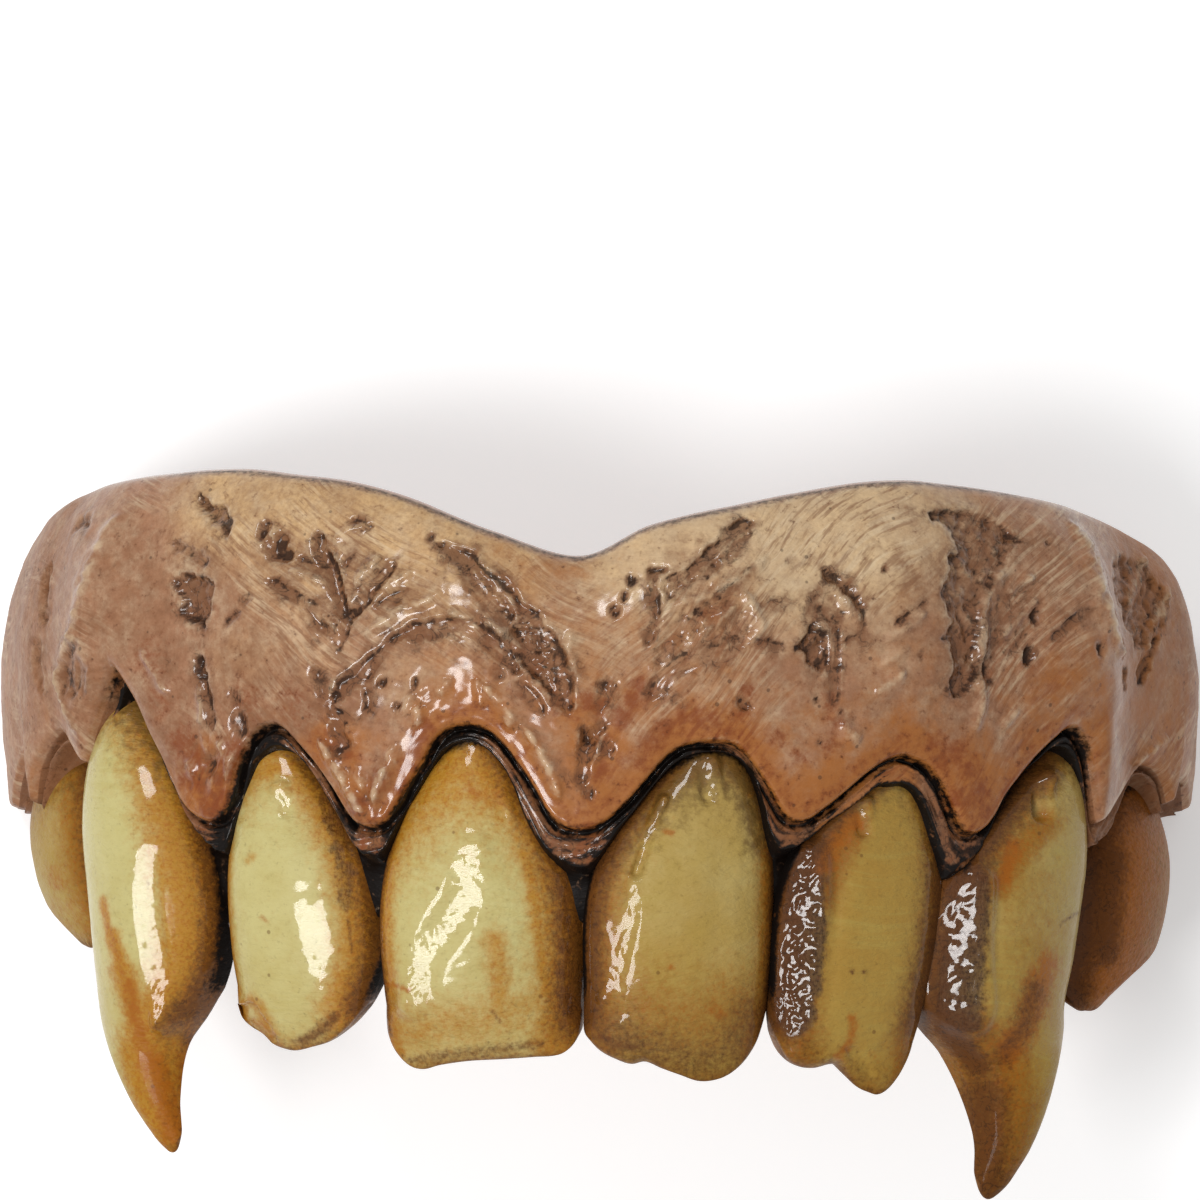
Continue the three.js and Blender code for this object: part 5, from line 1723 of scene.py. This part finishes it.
# %% Paint of the teeth's shader
# the darker ivory is a tone of the paint itself, for mottling and brush streaks
IVORY, DARKER_IVORY, OLIVE = linear("c0b57a"), linear("ab9a50"), linear("a07c34")
# the ochre of the browner right-hand teeth, partly older paint and partly painted shade
OCHRE, SHADED_OLD_OCHRE, SMOKE = linear("ab7410"), linear("86591a"), linear("5e4420")
RUST_SPOT, BROWN, BLACK = linear("985208"), linear("57300f"), linear("0d0603")
FLANK_GREY = linear("4c331d")


def tooth_paint_material():
    """The material of all eight teeth, from the ivory up."""
    material, tree, sockets = varnished("painted teeth", 0.07)
    # older and browner on the right, partly the paint's own colour and partly painted shade
    age_and_shade = broken(tree, "age_and_shade", 300, 0.7, 0)
    colour = coat_of(tree, age_and_shade, IVORY, OLIVE)
    colour, _ = layered(tree, colour, [(0.35, 600, 1.5, 0.1, 0.35, DARKER_IVORY)])
    brushed = effect(tree, streaks, angle=0.1, length=220, width=2400, amount=0.25)
    colour = coat_of(tree, brushed, colour, DARKER_IVORY)
    dots = broken(tree, 0.38, 5600, 2.4, 0.4)
    ochre = broken(tree, "ochre", 2200, 0.9, 0.05)
    colour = laid(tree, colour, coat_of(tree, age_and_shade, OCHRE, SHADED_OLD_OCHRE), ochre, 0.92)
    colour = laid(tree, colour, RUST_SPOT, dots, maths(tree, "MULTIPLY", ochre, 0.55))
    colour, masks = layered(
        tree, colour, [("smoke", 2400, 1.6, 0.2, 0.8, SMOKE), ("flank", 1800, 1.3, 0.3, 0.8, FLANK_GREY)]
    )
    flank = masks["flank"]
    colour = laid(tree, colour, BLACK, maths(tree, "MULTIPLY", dots, flank), 0.7)
    colour, _ = layered(tree, colour, [("rust", 2600, 1.4, 0.2, 0.8, RUST_SPOT)])
    tanned = broken(tree, "brown", 1500, 0.8, 0)
    colour = laid(tree, colour, coat_of(tree, age_and_shade, RUST_SPOT, BROWN), tanned, 0.55)
    brown = broken(tree, "brown", 4200, 1.5, 0.2)
    colour = laid(tree, colour, BROWN, brown, 0.8)
    lined = maths(tree, "MULTIPLY", effect(tree, wrinkles, size=1300, width=0.03), tanned)
    colour = laid(tree, colour, BLACK, lined, 0.5)
    black = broken(tree, "black", 4200, 1.3, 0.2)
    colour = coat_of(tree, black, colour, BLACK)
    spatter = effect(tree, specks, spacing=1500, size=0.14, share=0.08)
    colour = laid(tree, colour, BROWN, spatter, 0.5)
    feed(tree, sockets["Base Color"], colour)
    feed(tree, sockets["Roughness"], between(tree, brown, 0.45, 0.7))
    glossy = maths(tree, "MAXIMUM", flank, maths(tree, "MULTIPLY", brown, 0.7))
    glossy = maths(tree, "MULTIPLY", glossy, maths(tree, "SUBTRACT", 1.0, dots))
    shiny = maths(tree, "SUBTRACT", 1.0, maths(tree, "MAXIMUM", mask(tree, "matt"), black))
    coat = maths(tree, "MULTIPLY", between(tree, glossy, 0.55, 0.85), shiny)
    feed(tree, sockets["Coat Weight"], coat)
    surface = effect(tree, varnish, ripple=0.6, orange_peel=0.6, rough=flank)
    feed(tree, sockets["Normal"], surface)
    print(material.name, "nodes:", len(tree.nodes))
    return material


# %% [markdown]
# The casting is put together: the gum and tray first, then the eight teeth, all in the same place as
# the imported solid. The solid itself is hidden, because these pieces stand for it together.

# %% Put the casting together
gum_material, tooth_material = gum_paint(), tooth_paint_material()
gum = gum_and_tray(gum_material)
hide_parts("denture")
for name in TEETH:
    tooth(name, tooth_material)

# %% [markdown]
# The studio is plain: a pale floor just under the ends of the tray, a white sky for soft fill, and two
# square lights. The window hangs at the lower left of the camera, and its mirror image is the bright
# streak on a tooth. The ceiling lamp hangs at the upper left and is much weaker.

# %% Floor and light
FLOOR_SIZE = 1600
FLOOR_DROP = 0.02
FLOOR_GREY, FLOOR_GLOW = 0.9, 0.28
SKY_STRENGTH = 0.45
LIT_SPOT = (0, 0, 15)


def floor():
    """A square sheet under the casting, which glows faintly so that it comes out nearly white."""
    mesh = bpy.data.meshes.new("floor")
    sheet = bmesh.new()
    bmesh.ops.create_grid(sheet, x_segments=1, y_segments=1, size=FLOOR_SIZE * MM / 2)
    bmesh.ops.translate(sheet, verts=sheet.verts, vec=(0, 0, cad_low[2] - FLOOR_DROP * MM))
    sheet.to_mesh(mesh)
    sheet.free()
    material = bpy.data.materials.new("pale floor")
    material.use_nodes = True
    sockets = material.node_tree.nodes["Principled BSDF"].inputs
    sockets["Base Color"].default_value = (FLOOR_GREY, FLOOR_GREY, FLOOR_GREY, 1)
    sockets["Roughness"].default_value = 0.8
    sockets["Emission Strength"].default_value = FLOOR_GLOW
    mesh.materials.append(material)
    piece = bpy.data.objects.new("floor", mesh)
    bpy.context.scene.collection.objects.link(piece)


def light(name, position, size, power):
    """A rectangular lamp that shines at the teeth."""
    lamp = bpy.data.lights.new(name, "AREA")
    lamp.shape = "RECTANGLE"
    lamp.size, lamp.size_y = size[0] * MM, size[1] * MM
    lamp.energy = power
    holder = bpy.data.objects.new(name, lamp)
    holder.location = [p * MM for p in position]
    beam = Vector(LIT_SPOT) - Vector(position)
    holder.rotation_euler = beam.to_track_quat("-Z", "Y").to_euler()
    bpy.context.scene.collection.objects.link(holder)
    print(name, "watts:", power)


floor()
light("window", (-72, -38, 190), (46, 56), 0.19)
light("ceiling lamp", (-50, 100, 175), (40, 30), 0.08)
world = bpy.data.worlds.new("white room")
world.use_nodes = True
sky = world.node_tree.nodes["Background"].inputs
sky["Color"].default_value = (1, 1, 1, 1)
sky["Strength"].default_value = SKY_STRENGTH
bpy.context.scene.world = world
bpy.context.scene.view_settings.view_transform = "Standard"
